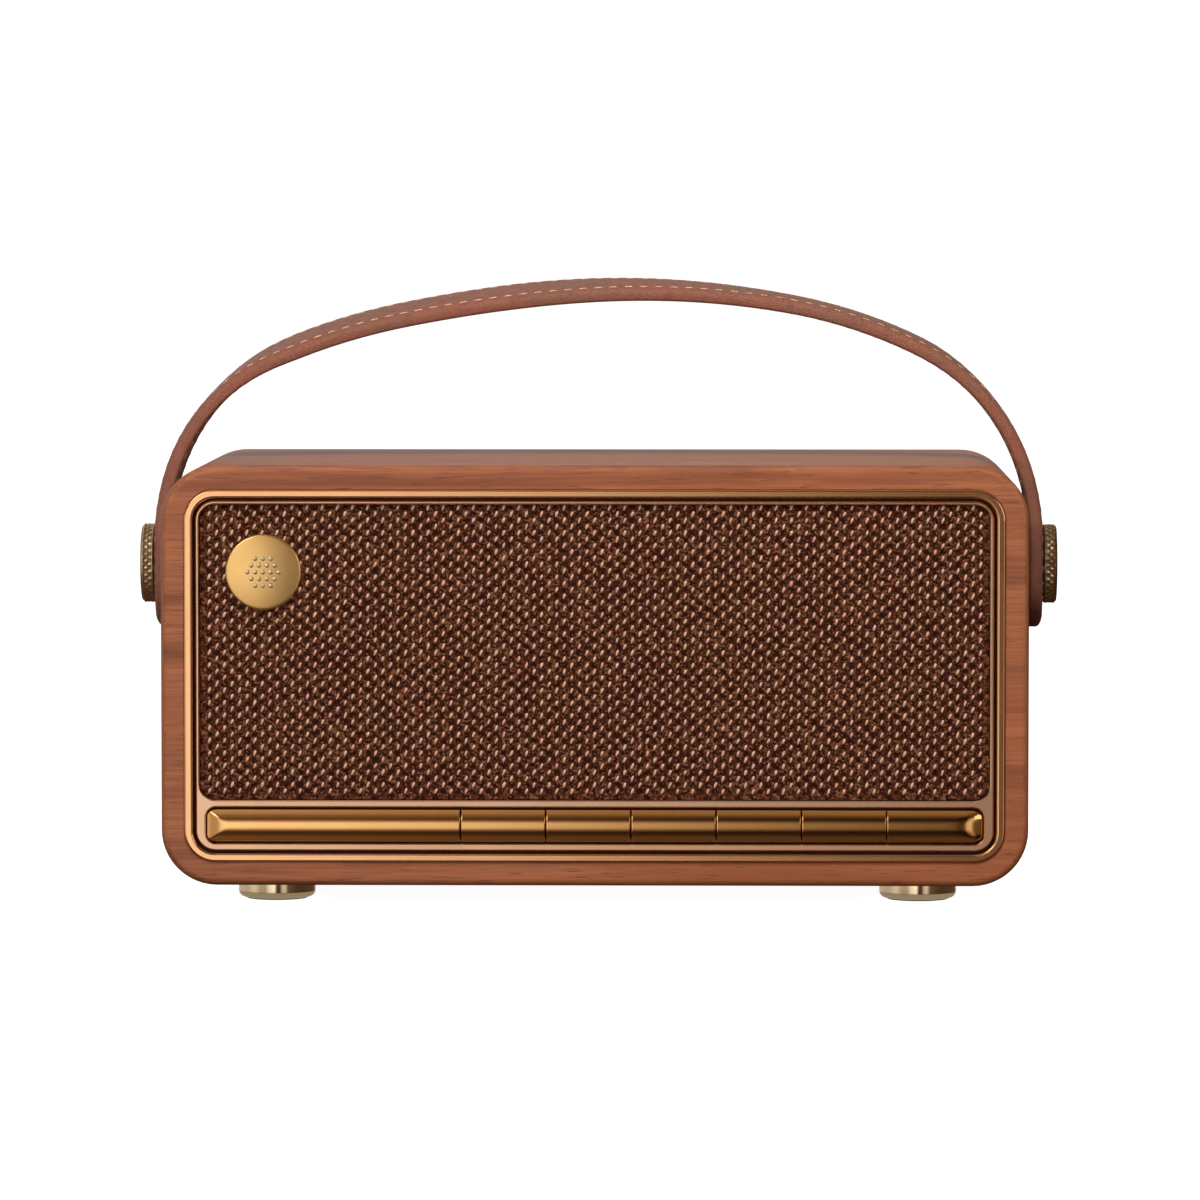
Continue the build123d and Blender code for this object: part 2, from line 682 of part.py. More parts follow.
save(port_tube, "port_tube")

with BuildPart() as socket_plate:
    with BuildSketch(front(PANEL_BACK)):
        with Locations((SOCKETS_X, SOCKETS_Z)):
            RectangleRounded(SOCKET_PLATE_W, SOCKET_PLATE_H, 4)
        with Locations((USB_X, SOCKETS_Z)):
            SlotOverall(USB_W + 0.6, USB_H + 0.6, mode=Mode.SUBTRACT)
        with Locations((JACK_X, SOCKETS_Z)):
            Circle(NECK_R + 0.2, mode=Mode.SUBTRACT)
    extrude(amount=-1.0)
    chamfer(socket_plate.faces().sort_by(Axis.Y)[-1].outer_wire().edges(), 0.3)
save(socket_plate, "socket_plate")

SOCKET_FACE = PANEL_BACK + 1.0
IO_BOARD_Y = PANEL_FRONT - 7.0
with BuildPart() as usb_socket:
    with BuildSketch(front(SOCKET_FACE)):
        with Locations((USB_X, SOCKETS_Z)):
            SlotOverall(USB_W, USB_H)
            SlotOverall(USB_W - 0.6, USB_H - 0.6, mode=Mode.SUBTRACT)
    extrude(amount=SOCKET_FACE - IO_BOARD_Y)
    with BuildSketch(front(IO_BOARD_Y + 3)):
        with Locations((USB_X, SOCKETS_Z)):
            SlotOverall(USB_W, USB_H)
    extrude(amount=3)
    with BuildSketch(front(SOCKET_FACE - 0.8)):
        with Locations((USB_X, SOCKETS_Z)):
            Rectangle(6.4, 0.7)
    extrude(amount=SOCKET_FACE - 0.8 - IO_BOARD_Y)
save(usb_socket, "usb_socket")

with BuildPart() as jack_socket:
    with BuildSketch(front(IO_BOARD_Y)):
        with Locations((JACK_X, SOCKETS_Z)):
            Rectangle(8.5, 7.5)
    extrude(amount=IO_BOARD_Y - PANEL_FRONT + 0.2)
    with BuildSketch(front(SOCKET_FACE)):
        with Locations((JACK_X, SOCKETS_Z)):
            Circle(NECK_R)
    extrude(amount=SOCKET_FACE - IO_BOARD_Y - 2)
    with BuildSketch(front(SOCKET_FACE)):
        with Locations((JACK_X, SOCKETS_Z)):
            Circle(JACK_R)
    extrude(amount=SOCKET_FACE - IO_BOARD_Y - 0.6, mode=Mode.SUBTRACT)
save(jack_socket, "jack_socket")

# ---------------------------------------------------------------- boards and battery
IO_BOARD_W = 44.0
IO_BOARD_H = 20.0
MAIN_X = 44.0
MAIN_Z = 80.0
MAIN_W = 92.0
MAIN_H = 38.0
MAIN_Y = PANEL_FRONT - 12.0
STANDOFF_R = 2.6
BOARD_HOLE_INSET = 4.0

with BuildPart() as io_board:
    with BuildSketch(front(IO_BOARD_Y - BOARD_T)):
        with Locations((SOCKETS_X, SOCKETS_Z)):
            Rectangle(IO_BOARD_W, IO_BOARD_H)
    extrude(amount=-BOARD_T)
save(io_board, "io_board")

with BuildPart() as main_board:
    with BuildSketch(front(MAIN_Y - BOARD_T)):
        with Locations((MAIN_X, MAIN_Z)):
            Rectangle(MAIN_W, MAIN_H)
    extrude(amount=-BOARD_T)
save(main_board, "main_board")

with BuildPart() as board_standoffs:
    with BuildSketch(front(PANEL_FRONT)):
        with Locations((MAIN_X, MAIN_Z)):
            with GridLocations(MAIN_W - 2 * BOARD_HOLE_INSET, MAIN_H - 2 * BOARD_HOLE_INSET, 2, 2):
                Circle(STANDOFF_R)
    extrude(amount=PANEL_FRONT - MAIN_Y)
    with BuildSketch(front(PANEL_FRONT)):
        with Locations((SOCKETS_X, SOCKETS_Z)):
            with GridLocations(IO_BOARD_W - 6, IO_BOARD_H - 6, 2, 2):
                Circle(STANDOFF_R - 0.4)
    extrude(amount=PANEL_FRONT - IO_BOARD_Y)
save(board_standoffs, "board_standoffs")

board_front = MAIN_Y - BOARD_T
capacitor_places = [(MAIN_X - 34, MAIN_Z - 8), (MAIN_X - 34, MAIN_Z + 6), (MAIN_X - 20, MAIN_Z + 8)]
with BuildPart() as board_capacitors:
    with BuildSketch(front(board_front)):
        with Locations(*capacitor_places):
            Circle(5)
    extrude(amount=12)
    fillet(board_capacitors.faces().filter_by(Axis.Y).group_by(Axis.Y)[0].edges(), 0.6)
save(board_capacitors, "board_capacitors")

chip_places = [(MAIN_X - 12, MAIN_Z - 9), (MAIN_X + 4, MAIN_Z - 10), (MAIN_X + 2, MAIN_Z + 10)]
with BuildPart() as board_chips:
    with BuildSketch(front(board_front)):
        with Locations(*chip_places):
            Rectangle(10, 8)
    extrude(amount=1.4)
save(board_chips, "board_chips")

FIN_COUNT = 6
with BuildPart() as heat_sink:
    with BuildSketch(front(board_front)):
        with Locations((MAIN_X + 28, MAIN_Z)):
            Rectangle(26, 26)
    extrude(amount=2)
    with BuildSketch(front(board_front - 2)):
        with Locations((MAIN_X + 28, MAIN_Z)):
            with GridLocations(26 / FIN_COUNT, 26, FIN_COUNT, 1):
                Rectangle(1.4, 26)
    extrude(amount=9)
save(heat_sink, "heat_sink")

CELL_R = 9.2
CELL_L = 65.0
CELL_Y = 22.0
FLOOR = FOOT_H + WALL
CRADLE_T = 2.0
cell_offsets = (-CELL_R - 0.3, CELL_R + 0.3)
with BuildPart() as battery_cells:
    with BuildSketch(Plane.YZ.offset(-CELL_L / 2)):
        with Locations(*[(CELL_Y + offset, FLOOR + CRADLE_T + CELL_R + 0.2) for offset in cell_offsets]):
            Circle(CELL_R)
    extrude(amount=CELL_L)
    fillet(battery_cells.faces().filter_by(Axis.X).edges(), 0.8)
save(battery_cells, "battery_cells")

CRADLE_W = 4 * CELL_R + 0.6 + 2 * CRADLE_T + 0.4
with BuildPart() as battery_cradle:
    with Locations((0, CELL_Y, FLOOR + 0.02)):
        Box(CELL_L + 2 * CRADLE_T + 0.6, CRADLE_W, 13, align=(Align.CENTER, Align.CENTER, Align.MIN))
    with Locations((0, CELL_Y, FLOOR + CRADLE_T)):
        pocket = (CELL_L + 0.6, CRADLE_W - 2 * CRADLE_T, 13)
        Box(*pocket, align=(Align.CENTER, Align.CENTER, Align.MIN), mode=Mode.SUBTRACT)
save(battery_cradle, "battery_cradle")

# ---------------------------------------------------------------- handle
# The arch's centres follow from its three radii, each tangent to the next.
def arch_point(centre, radius, angle):
    """Point at an angle from straight up, towards +X."""
    return centre + Vector(math.sin(math.radians(angle)), math.cos(math.radians(angle))) * radius


crown_centre = Vector(0, HANDLE_TOP - CROWN_R)
haunch_centre = arch_point(arch_point(crown_centre, CROWN_R, CROWN_ANGLE), -HAUNCH_R, CROWN_ANGLE)
shoulder_centre = arch_point(arch_point(haunch_centre, HAUNCH_R, HAUNCH_ANGLE), -SHOULDER_R, HAUNCH_ANGLE)
LEG_X = shoulder_centre.X + SHOULDER_R
LEG_TOP = shoulder_centre.Y


def arch_edge(inset, bottom):
    """Line along the arch from leg to leg, set in from the outer leather by inset."""
    for side in (1, -1):
        for centre, radius, low, high in (
            (shoulder_centre, SHOULDER_R, 0, 90 - HAUNCH_ANGLE),
            (haunch_centre, HAUNCH_R, 90 - HAUNCH_ANGLE, 90 - CROWN_ANGLE),
        ):
            start = low if side > 0 else 180 - low
            CenterArc((side * centre.X, centre.Y), radius - inset, start, side * (high - low))
        Line((side * (LEG_X - inset), LEG_TOP), (side * (LEG_X - inset), bottom))
    CenterArc((0, crown_centre.Y), CROWN_R - inset, 90 - CROWN_ANGLE, 2 * CROWN_ANGLE)


def arch_band(outer, inner, bottom):
    """Closed outline between two insets of the arch, cut off at a height."""
    arch_edge(outer, bottom)
    arch_edge(inner, bottom)
    for side in (1, -1):
        Line((side * (LEG_X - outer), bottom), (side * (LEG_X - inner), bottom))


def strap_silhouette():
    """Outline of the strap's side view: wide round tabs at the knobs, narrower over the hand."""
    tab_middle = STRAP_END_Z + STRAP_HALF_END
    CenterArc((0, tab_middle), STRAP_HALF_END, 180, 180)
    for side in (1, -1):
        Polyline(
            (side * STRAP_HALF_END, tab_middle),
            (side * STRAP_HALF_END, AXIS_Z + 6),
            (side * STRAP_HALF_TOP, AXIS_Z + 22),
            (side * STRAP_HALF_TOP, HANDLE_TOP + 1),
        )
    Line((STRAP_HALF_TOP, HANDLE_TOP + 1), (-STRAP_HALF_TOP, HANDLE_TOP + 1))


def stud_hole(radius):
    """Cuts a hole right across the current part for the two handle studs."""
    with Locations((0, 0, AXIS_Z)):
        Cylinder(radius, 2 * LEG_X + 10, rotation=(0, 90, 0), mode=Mode.SUBTRACT)


CORE_BOTTOM = STRAP_END_Z + 8
with BuildPart() as handle_strap:
    with BuildSketch(front(0)):
        with BuildLine():
            arch_band(0, STRAP_T - LINING_T, STRAP_END_Z)
        make_face()
    extrude(amount=STRAP_HALF_END, both=True)
    with BuildSketch(Plane.YZ):
        with BuildLine():
            strap_silhouette()
        make_face()
    extrude(amount=LEG_X + 5, both=True, mode=Mode.INTERSECT)
    with BuildSketch(front(0)):
        with BuildLine():
            arch_band(STRAP_T - LINING_T - CORE_T, STRAP_T - LINING_T, CORE_BOTTOM)
        make_face()
    extrude(amount=CORE_HALF, both=True, mode=Mode.SUBTRACT)
    stud_hole(STUD_R + 0.1)
save(handle_strap, "handle_strap")

with BuildPart() as strap_core:
    with BuildSketch(front(0)):
        with BuildLine():
            arch_band(STRAP_T - LINING_T - CORE_T, STRAP_T - LINING_T, CORE_BOTTOM)
        make_face()
    extrude(amount=CORE_HALF, both=True)
    stud_hole(STUD_R + 0.1)
save(strap_core, "strap_core")

with BuildPart() as strap_lining:
    with BuildSketch(front(0)):
        with BuildLine():
            arch_band(STRAP_T - LINING_T, STRAP_T, STRAP_END_Z)
        make_face()
    extrude(amount=STRAP_HALF_END, both=True)
    with BuildSketch(Plane.YZ):
        with BuildLine():
            strap_silhouette()
        make_face()
    extrude(amount=LEG_X + 5, both=True, mode=Mode.INTERSECT)
    stud_hole(STUD_R + 0.1)
save(strap_lining, "strap_lining")

WASHER_R = 9.0
with BuildPart() as strap_washers:
    for side in (1, -1):
        with Locations((side * (SIDE + LEG_X - STRAP_T) / 2, 0, AXIS_Z)):
            Cylinder(WASHER_R, LEG_X - STRAP_T - SIDE - 0.1, rotation=(0, 90, 0))
    stud_hole(STUD_R + 0.1)
save(strap_washers, "strap_washers")

KNOB_IN = LEG_X + TURNING_GAP
KNOB_OUT = KNOB_IN + KNOB_T
STUD_END = KNOB_IN + 2.4
STUD_INNER = SIDE - WALL - 1
for name, side in (("left", -1), ("right", 1)):
    knob_plane = Plane(origin=(0, 0, AXIS_Z), x_dir=(0, 0, 1), z_dir=(0, side, 0))
    knob_axis = Axis((0, 0, AXIS_Z), (1, 0, 0))
    with BuildPart() as knob:
        with BuildSketch(knob_plane):
            outline(
                (STUD_R + 0.02, KNOB_IN),
                (KNOB_R - 0.5, KNOB_IN),
                (KNOB_R, KNOB_IN + 0.5),
                (KNOB_R, KNOB_OUT - 0.7),
                (KNOB_R - 0.7, KNOB_OUT),
                (KNOB_R - 2.2, KNOB_OUT),
                (KNOB_R - 2.6, KNOB_OUT - 0.4),
                (0, KNOB_OUT - 0.4),
                (0, STUD_END + 0.02),
                (STUD_R + 0.02, STUD_END + 0.02),
            )
        revolve(axis=knob_axis)
    save(knob, f"knob_{name}")

    with BuildPart() as knob_stud:
        with BuildSketch(knob_plane):
            outline((0, STUD_INNER), (STUD_R, STUD_INNER), (STUD_R, STUD_END), (0, STUD_END))
        revolve(axis=knob_axis)
    save(knob_stud, f"knob_stud_{name}")

with BuildPart() as stud_inserts:
    for side in (1, -1):
        with Locations((side * (SIDE - WALL / 2), 0, AXIS_Z)):
            Cylinder(INSERT_R, WALL, rotation=(0, 90, 0))
    stud_hole(STUD_R + SHAFT_GAP)
save(stud_inserts, "stud_inserts")

# ---------------------------------------------------------------- feet
PAD_R = 8.5
PAD_T = 2.0
PAD_PROUD = 0.3
FOOT_BEVEL = 0.4
FOOT_FILLET = 2.0
HEAD_R = 3.4
HEAD_T = 2.4
FOOT_SCREW_R = 2.0
for name, place in foot_places.items():
    with BuildPart() as foot:
        with BuildSketch(Plane.XY.offset(PAD_PROUD)):
            with Locations(place):
                Circle(FOOT_R)
        extrude(amount=FOOT_H - PAD_PROUD)
        fillet(foot.faces().sort_by(Axis.Z)[0].edges(), FOOT_FILLET)
        chamfer(foot.faces().sort_by(Axis.Z)[-1].edges(), FOOT_BEVEL)
        with BuildSketch(Plane.XY.offset(PAD_PROUD)):
            with Locations(place):
                Circle(PAD_R + 0.1)
        extrude(amount=PAD_T - PAD_PROUD, mode=Mode.SUBTRACT)
        with BuildSketch(Plane.XY.offset(PAD_T)):
            with Locations(place):
                Circle(HEAD_R + 0.2)
        extrude(amount=HEAD_T + 0.1, mode=Mode.SUBTRACT)
        with BuildSketch(Plane.XY.offset(PAD_T)):
            with Locations(place):
                Circle(FOOT_SCREW_R + 0.1)
        extrude(amount=FOOT_H, mode=Mode.SUBTRACT)
    save(foot, f"foot_{name}")

with BuildPart() as foot_pads:
    with BuildSketch(Plane.XY):
        with Locations(*foot_places.values()):
            Circle(PAD_R)
    extrude(amount=PAD_T)
save(foot_pads, "foot_pads")

with BuildPart() as foot_screws:
    with BuildSketch(Plane.XY.offset(PAD_T + 0.1)):
        with Locations(*foot_places.values()):
            Circle(HEAD_R)
    extrude(amount=HEAD_T)
    with BuildSketch(Plane.XY.offset(PAD_T + HEAD_T)):
        with Locations(*foot_places.values()):
            Circle(FOOT_SCREW_R)
    extrude(amount=FOOT_H + WALL - PAD_T - HEAD_T - 1)
save(foot_screws, "foot_screws")
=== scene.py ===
"""Looks of the portable radio speaker: materials, strap, woven grille, keys, badge and knobs."""

import math
import random

import bmesh
import bpy
import numpy as np
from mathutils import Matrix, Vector


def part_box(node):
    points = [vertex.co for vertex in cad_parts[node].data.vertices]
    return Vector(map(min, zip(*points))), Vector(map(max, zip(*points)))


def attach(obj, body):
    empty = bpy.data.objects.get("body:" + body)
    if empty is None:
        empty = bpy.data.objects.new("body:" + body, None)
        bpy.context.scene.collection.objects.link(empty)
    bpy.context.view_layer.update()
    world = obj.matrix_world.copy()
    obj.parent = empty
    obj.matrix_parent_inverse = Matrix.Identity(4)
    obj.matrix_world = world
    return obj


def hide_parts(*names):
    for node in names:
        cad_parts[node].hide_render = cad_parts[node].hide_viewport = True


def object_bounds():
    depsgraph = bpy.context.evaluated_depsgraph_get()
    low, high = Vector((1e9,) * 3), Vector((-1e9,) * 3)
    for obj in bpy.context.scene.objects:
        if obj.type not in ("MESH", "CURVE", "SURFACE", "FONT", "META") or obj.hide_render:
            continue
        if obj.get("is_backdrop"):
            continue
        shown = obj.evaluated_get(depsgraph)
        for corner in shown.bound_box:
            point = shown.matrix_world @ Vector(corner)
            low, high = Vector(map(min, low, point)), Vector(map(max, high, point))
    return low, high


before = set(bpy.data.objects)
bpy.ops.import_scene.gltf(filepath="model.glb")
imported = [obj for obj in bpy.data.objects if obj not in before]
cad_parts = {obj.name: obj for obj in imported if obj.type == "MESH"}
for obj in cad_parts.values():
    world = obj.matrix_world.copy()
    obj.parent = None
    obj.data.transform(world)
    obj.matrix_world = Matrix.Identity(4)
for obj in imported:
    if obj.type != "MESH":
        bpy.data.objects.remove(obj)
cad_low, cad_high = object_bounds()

MM = 0.001
scene = bpy.context.scene
pick = random.Random(7)


# -------- small helpers
def linear(red, green, blue):
    """Scene colour of a display colour given as 0 to 255."""
    channels = []
    for value in (red, green, blue):
        part = value / 255
        channels.append(part / 12.92 if part <= 0.04045 else ((part + 0.055) / 1.055) ** 2.4)
    return (*channels, 1.0)


def smooth_step(value, low, high):
    share = min(1.0, max(0.0, (value - low) / (high - low)))
    return share * share * (3 - 2 * share)


def middle(node):
    low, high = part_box(node)
    return (low + high) / 2


class Graph:
    """Node tree of a material or a world, with one short call for each kind of node. Lengths are
    millimetres."""

    def __init__(self, owner):
        self.owner = owner
        owner.use_nodes = True
        self.nodes = owner.node_tree.nodes
        self.links = owner.node_tree.links
        self.coordinates = self.nodes.new("ShaderNodeTexCoord")

    def put(self, value, socket):
        if isinstance(value, bpy.types.NodeSocket):
            self.links.new(value, socket)
        elif value is not None:
            socket.default_value = value

    def add(self, kind, output, inputs=None, **settings):
        """Output of a new node, once its settings are made and its inputs filled in."""
        node = self.nodes.new("ShaderNode" + kind)
        for name, value in settings.items():
            setattr(node, name, value)
        for name, value in (inputs or {}).items():
            self.put(value, node.inputs[name])
        return node.outputs[output]

    def place(self, stretch=(1, 1, 1), vector=None, turn=(0, 0, 0)):
        """Position in millimetres, times stretch."""
        scale = 1
        if vector is None:
            vector = self.coordinates.outputs["Object"]
            scale = 1 / MM
        stretch = [part * scale for part in stretch]
        turn = [math.radians(part) for part in turn]
        return self.add("Mapping", "Vector", {"Vector": vector, "Scale": stretch, "Rotation": turn})

    def noise(self, vector, scale=1.0, detail=3.0, roughness=0.5, distortion=0.0):
        inputs = {"Vector": vector, "Scale": scale, "Detail": detail}
        inputs |= {"Roughness": roughness, "Distortion": distortion}
        return self.add("TexNoise", "Fac", inputs)

    def cells(self, vector, scale=1.0, feature="F1", output="Distance"):
        return self.add("TexVoronoi", output, {"Vector": vector, "Scale": scale}, feature=feature)

    def math(self, operation, *values):
        return self.add("Math", 0, dict(enumerate(values)), operation=operation)

    def axes(self, vector):
        return tuple(self.add("SeparateXYZ", 0, {0: vector}).node.outputs)

    def vector(self, x, y, z):
        return self.add("CombineXYZ", 0, {0: x, 1: y, 2: z})

    def ramp(self, value, *stops, curve="LINEAR"):
        """Colours between (place, colour) stops."""
        node = self.add("ValToRGB", 0, {"Fac": value}).node
        node.color_ramp.interpolation = curve
        elements = node.color_ramp.elements
        while len(elements) < len(stops):
            elements.new(0.5)
        for element, (place, colour) in zip(elements, stops):
            element.position = place
            element.color = colour if len(colour) == 4 else (*colour, 1)
        return node.outputs["Color"]

    def levels(self, value, low, high, out_low=0.0, out_high=1.0):
        inputs = dict(enumerate((value, low, high, out_low, out_high)))
        return self.add("MapRange", 0, inputs, interpolation_type="SMOOTHSTEP")

    def mix(self, share, first, second):
        return self.add("Mix", 2, {0: share, 6: first, 7: second}, data_type="RGBA")

    def blend_vectors(self, share, first, second):
        return self.add("Mix", 1, {0: share, 4: first, 5: second}, data_type="VECTOR")

    def bump(self, height, depth, strength=1.0, before=None):
        """Normal from a height of 0 to 1 that stands for depth millimetres."""
        inputs = {"Strength": strength, "Distance": depth * MM, "Height": height, "Normal": before}
        return self.add("Bump", "Normal", inputs)

    def finish(self, colour, roughness, normal=None, **sockets):
        inputs = self.nodes["Principled BSDF"].inputs
        self.put(colour, inputs["Base Color"])
        self.put(roughness, inputs["Roughness"])
        self.put(normal, inputs["Normal"])
        for name, value in sockets.items():
            inputs[name.replace("_", " ")].default_value = value
        return self.owner


# -------- materials
def walnut(name, light, streak, pore, roughness=0.42):
    """Veneer: the grain runs along X, and turns down the sides with the wrap."""
    g = Graph(bpy.data.materials.new(name))
    along = g.place()
    x, y, z = g.axes(along)
    across = g.math("ABSOLUTE", g.axes(g.coordinates.outputs["Normal"])[0])
    side = g.levels(across, 0.55, 0.85)
    grain = g.blend_vectors(side, along, g.vector(z, y, x))
    drift = g.noise(g.place((0.004, 0.03, 0.03), grain), 1.0, 2.0)
    figure = g.noise(g.place((0.010, 0.16, 0.16), grain), 1.0, 4.0, 0.55, 0.8)
    fibre = g.noise(g.place((0.045, 1.5, 1.5), grain), 1.0, 4.0, 0.65)
    pores = g.noise(g.place((0.11, 2.6, 2.6), grain), 1.0, 2.0, 0.5)
    colour = g.ramp(figure, (0.30, streak), (0.52, light), (0.75, [c * 1.18 for c in light[:3]]))
    colour = g.mix(g.levels(fibre, 0.38, 0.62, 0.0, 0.55), colour, streak)
    colour = g.mix(g.levels(drift, 0.35, 0.65, 0.0, 0.4), colour, WOOD_WARM)
    pits = g.levels(pores, 0.60, 0.70, 0.0, 0.75)
    colour = g.mix(pits, colour, pore)
    rough = g.levels(fibre, 0.3, 0.7, roughness - 0.05, roughness + 0.09)
    normal = g.bump(fibre, 0.05, 0.35)
    normal = g.bump(g.math("SUBTRACT", 1.0, pits), 0.06, 0.5, normal)
    return g.finish(colour, rough, normal, Coat_Weight=0.08, Coat_Roughness=0.3, Specular_IOR_Level=0.4)


def metal(name, bright, dull, roughness, brush, depth=0.004, wear=0.25, spread=0.06):
    """Plated or turned metal with hairline scratches along the axis that brush leaves unstretched."""
    g = Graph(bpy.data.materials.new(name))
    cloud = g.noise(g.place((0.05, 0.05, 0.05)), 1.0, 4.0, 0.6)
    hair = g.noise(g.place(brush), 1.0, 3.0, 0.6)
    colour = g.mix(g.levels(cloud, 0.35, 0.70, 0.0, wear), bright, dull)
    colour = g.mix(g.levels(hair, 0.35, 0.65, 0.0, 0.12), colour, dull)
    fog = g.math("MULTIPLY_ADD", cloud, spread, roughness - spread / 2)
    rough = g.math("MULTIPLY_ADD", hair, spread, fog)
    return g.finish(colour, rough, g.bump(hair, depth, 0.6), Metallic=1.0)


LATHE_PITCH = 0.35


def turned_metal(name, bright, dull, roughness, centre, groove):
    """Brass with the fine rings of a lathe about an X axis through centre (millimetres).
    Painted shade darkens it between the two radii of groove, the floor and the points of its knurling."""
    g = Graph(bpy.data.materials.new(name))
    x, y, z = g.axes(g.place())
    up = g.math("SUBTRACT", z, centre)
    radius = g.math("SQRT", g.math("ADD", g.math("MULTIPLY", y, y), g.math("MULTIPLY", up, up)))
    rings = g.noise(g.vector(g.math("MULTIPLY", radius, 1 / LATHE_PITCH), 0.0, 0.0), 1.0, 3.0, 0.6)
    cloud = g.noise(g.place((0.25, 0.25, 0.25)), 1.0, 4.0, 0.6)
    colour = g.mix(g.levels(cloud, 0.35, 0.68, 0.0, 0.5), bright, dull)
    face = g.levels(g.math("ABSOLUTE", g.axes(g.coordinates.outputs["Normal"])[0]), 0.90, 0.97)
    # painted shade: the knurl's grooves darken towards their floor, but not on the end faces
    groove_shade = g.math("SUBTRACT", 1.0, g.levels(radius, *groove))
    groove_shade = g.math("MULTIPLY", groove_shade, g.math("SUBTRACT", 1.0, face))
    colour = g.mix(g.math("MULTIPLY", groove_shade, 0.92), colour, KNURL_GROOVE_SHADE)
    rough = g.levels(cloud, 0.3, 0.7, roughness - 0.05, roughness + 0.1)
    return g.finish(colour, rough, g.bump(rings, 0.02, 0.5), Metallic=1.0)


def moulded(name, colour, roughness, grain, depth):
    """Moulded plastic, rubber or paint with a fine spark-eroded grain."""
    g = Graph(bpy.data.materials.new(name))
    fine = g.cells(g.place(), 1 / grain)
    cloud = g.noise(g.place((0.06, 0.06, 0.06)), 1.0, 4.0, 0.6)
    lighter = [min(1.0, part * 1.5 + 0.006) for part in colour[:3]] + [1.0]
    tone = g.mix(g.levels(cloud, 0.3, 0.7, 0.0, 0.48), colour, lighter)
    rough = g.levels(cloud, 0.3, 0.7, roughness - 0.06, roughness + 0.06)
    return g.finish(tone, rough, g.bump(fine, depth, 0.5))


def leather(name, base, red, dark, roughness=0.5):
    """Full-grain leather: pebbled cells with painted shade in their creases, pull-up tone in patches
    and a waxy sheen.
    """
    g = Graph(bpy.data.materials.new(name))
    position = g.place()
    pebble = g.cells(position, 1.25, "DISTANCE_TO_EDGE")
    small = g.cells(position, 2.9, "DISTANCE_TO_EDGE")
    patch = g.noise(g.place((0.045, 0.10, 0.07)), 1.0, 4.0, 0.6, 0.5)
    mottle = g.noise(g.place((0.35, 0.5, 0.5)), 1.0, 4.0, 0.65)
    colour = g.mix(g.levels(patch, 0.36, 0.66), base, red)
    colour = g.mix(g.levels(mottle, 0.45, 0.75, 0.0, 0.45), colour, dark)
    # painted shade: the colour darkens along the creases between the pebbles
    crease_shade = g.levels(pebble, 0.0, 0.12, 0.35, 0.0)
    colour = g.mix(crease_shade, colour, dark)
    rough = g.levels(mottle, 0.3, 0.7, roughness - 0.06, roughness + 0.10)
    normal = g.bump(g.levels(small, 0.0, 0.18), 0.03, 0.45)
    normal = g.bump(g.levels(pebble, 0.0, 0.22), 0.07, 0.6, normal)
    return g.finish(
        colour, rough, normal, Specular_IOR_Level=0.35, Sheen_Weight=0.04, Sheen_Roughness=0.5
    )


WEAVE_X = 4.18  # millimetres from one slub to the next along a row
WEAVE_Z = 3.49  # and from one row to the next but one


def woven(name):
    """Dark basket weave of mixed yarns under the pale slubs, with painted shade darkest in the pits
    between them.
    """
    g = Graph(bpy.data.materials.new(name))
    x, y, z = g.axes(g.place())
    across = g.math("COSINE", g.math("MULTIPLY", x, 2 * math.pi / WEAVE_X))
    up = g.math("COSINE", g.math("MULTIPLY", z, 2 * math.pi / WEAVE_Z))
    lift = g.math("MULTIPLY", across, up)
    yarn = g.cells(g.place((0.48, 0.48, 0.85)), 1.0, "F1", "Color")
    tone = g.axes(yarn)[0]
    mixed = g.ramp(
        tone,
        (0.00, linear(92, 36, 16)),
        (0.30, linear(100, 56, 26)),
        (0.52, linear(84, 56, 20)),
        (0.72, linear(102, 35, 20)),
        (0.90, linear(80, 34, 32)),
    )
    blotch = g.noise(g.place((0.05, 0.05, 0.05)), 1.0, 3.0, 0.6)
    mixed = g.mix(g.levels(blotch, 0.35, 0.7, 0.0, 0.35), mixed, linear(92, 30, 24))
    # painted shade: the weave's colour is darkened in its pits between the slubs
    colour = g.mix(g.levels(lift, -0.7, 0.6, 0.92, 0.0), mixed, linear(26, 5, 2))
    fibre = g.noise(g.place((2.0, 2.0, 2.4)), 1.0, 3.0, 0.7)
    colour = g.mix(g.levels(fibre, 0.38, 0.62, 0.0, 0.9), colour, linear(26, 7, 2))
    strands = g.noise(g.place((1.3, 1.3, 1.3)), 1.0, 3.0, 0.6)
    colour = g.mix(g.levels(strands, 0.5, 0.66, 0.0, 0.75), colour, linear(132, 86, 60))
    normal = g.bump(strands, 0.25, 0.8)
    return g.finish(colour, 0.85, normal, Sheen_Weight=0.03, Specular_IOR_Level=0.15)


def slub_yarn(name, low, high, tints, stretch):
    """Pale spun yarn, each float a little different from the next."""
    g = Graph(bpy.data.materials.new(name))
    yarn = g.cells(g.place(stretch), 1.0, "F1", "Color")
    tone, shade, _ = g.axes(yarn)
    colour = g.ramp(tone, *[(place, linear(*tint)) for place, tint in tints])
    colour = g.mix(g.levels(shade, 0.0, 1.0, 0.0, 0.35), colour, low)
    ply = g.noise(g.place((7.0, 7.0, 2.4), turn=(0, -24, 0)), 1.0, 3.0, 0.6)
    colour = g.mix(g.levels(ply, 0.4, 0.7, 0.0, 0.5), colour, high)
    return g.finish(colour, 0.75, g.bump(ply, 0.08, 0.7), Sheen_Weight=0.15, Specular_IOR_Level=0.3)


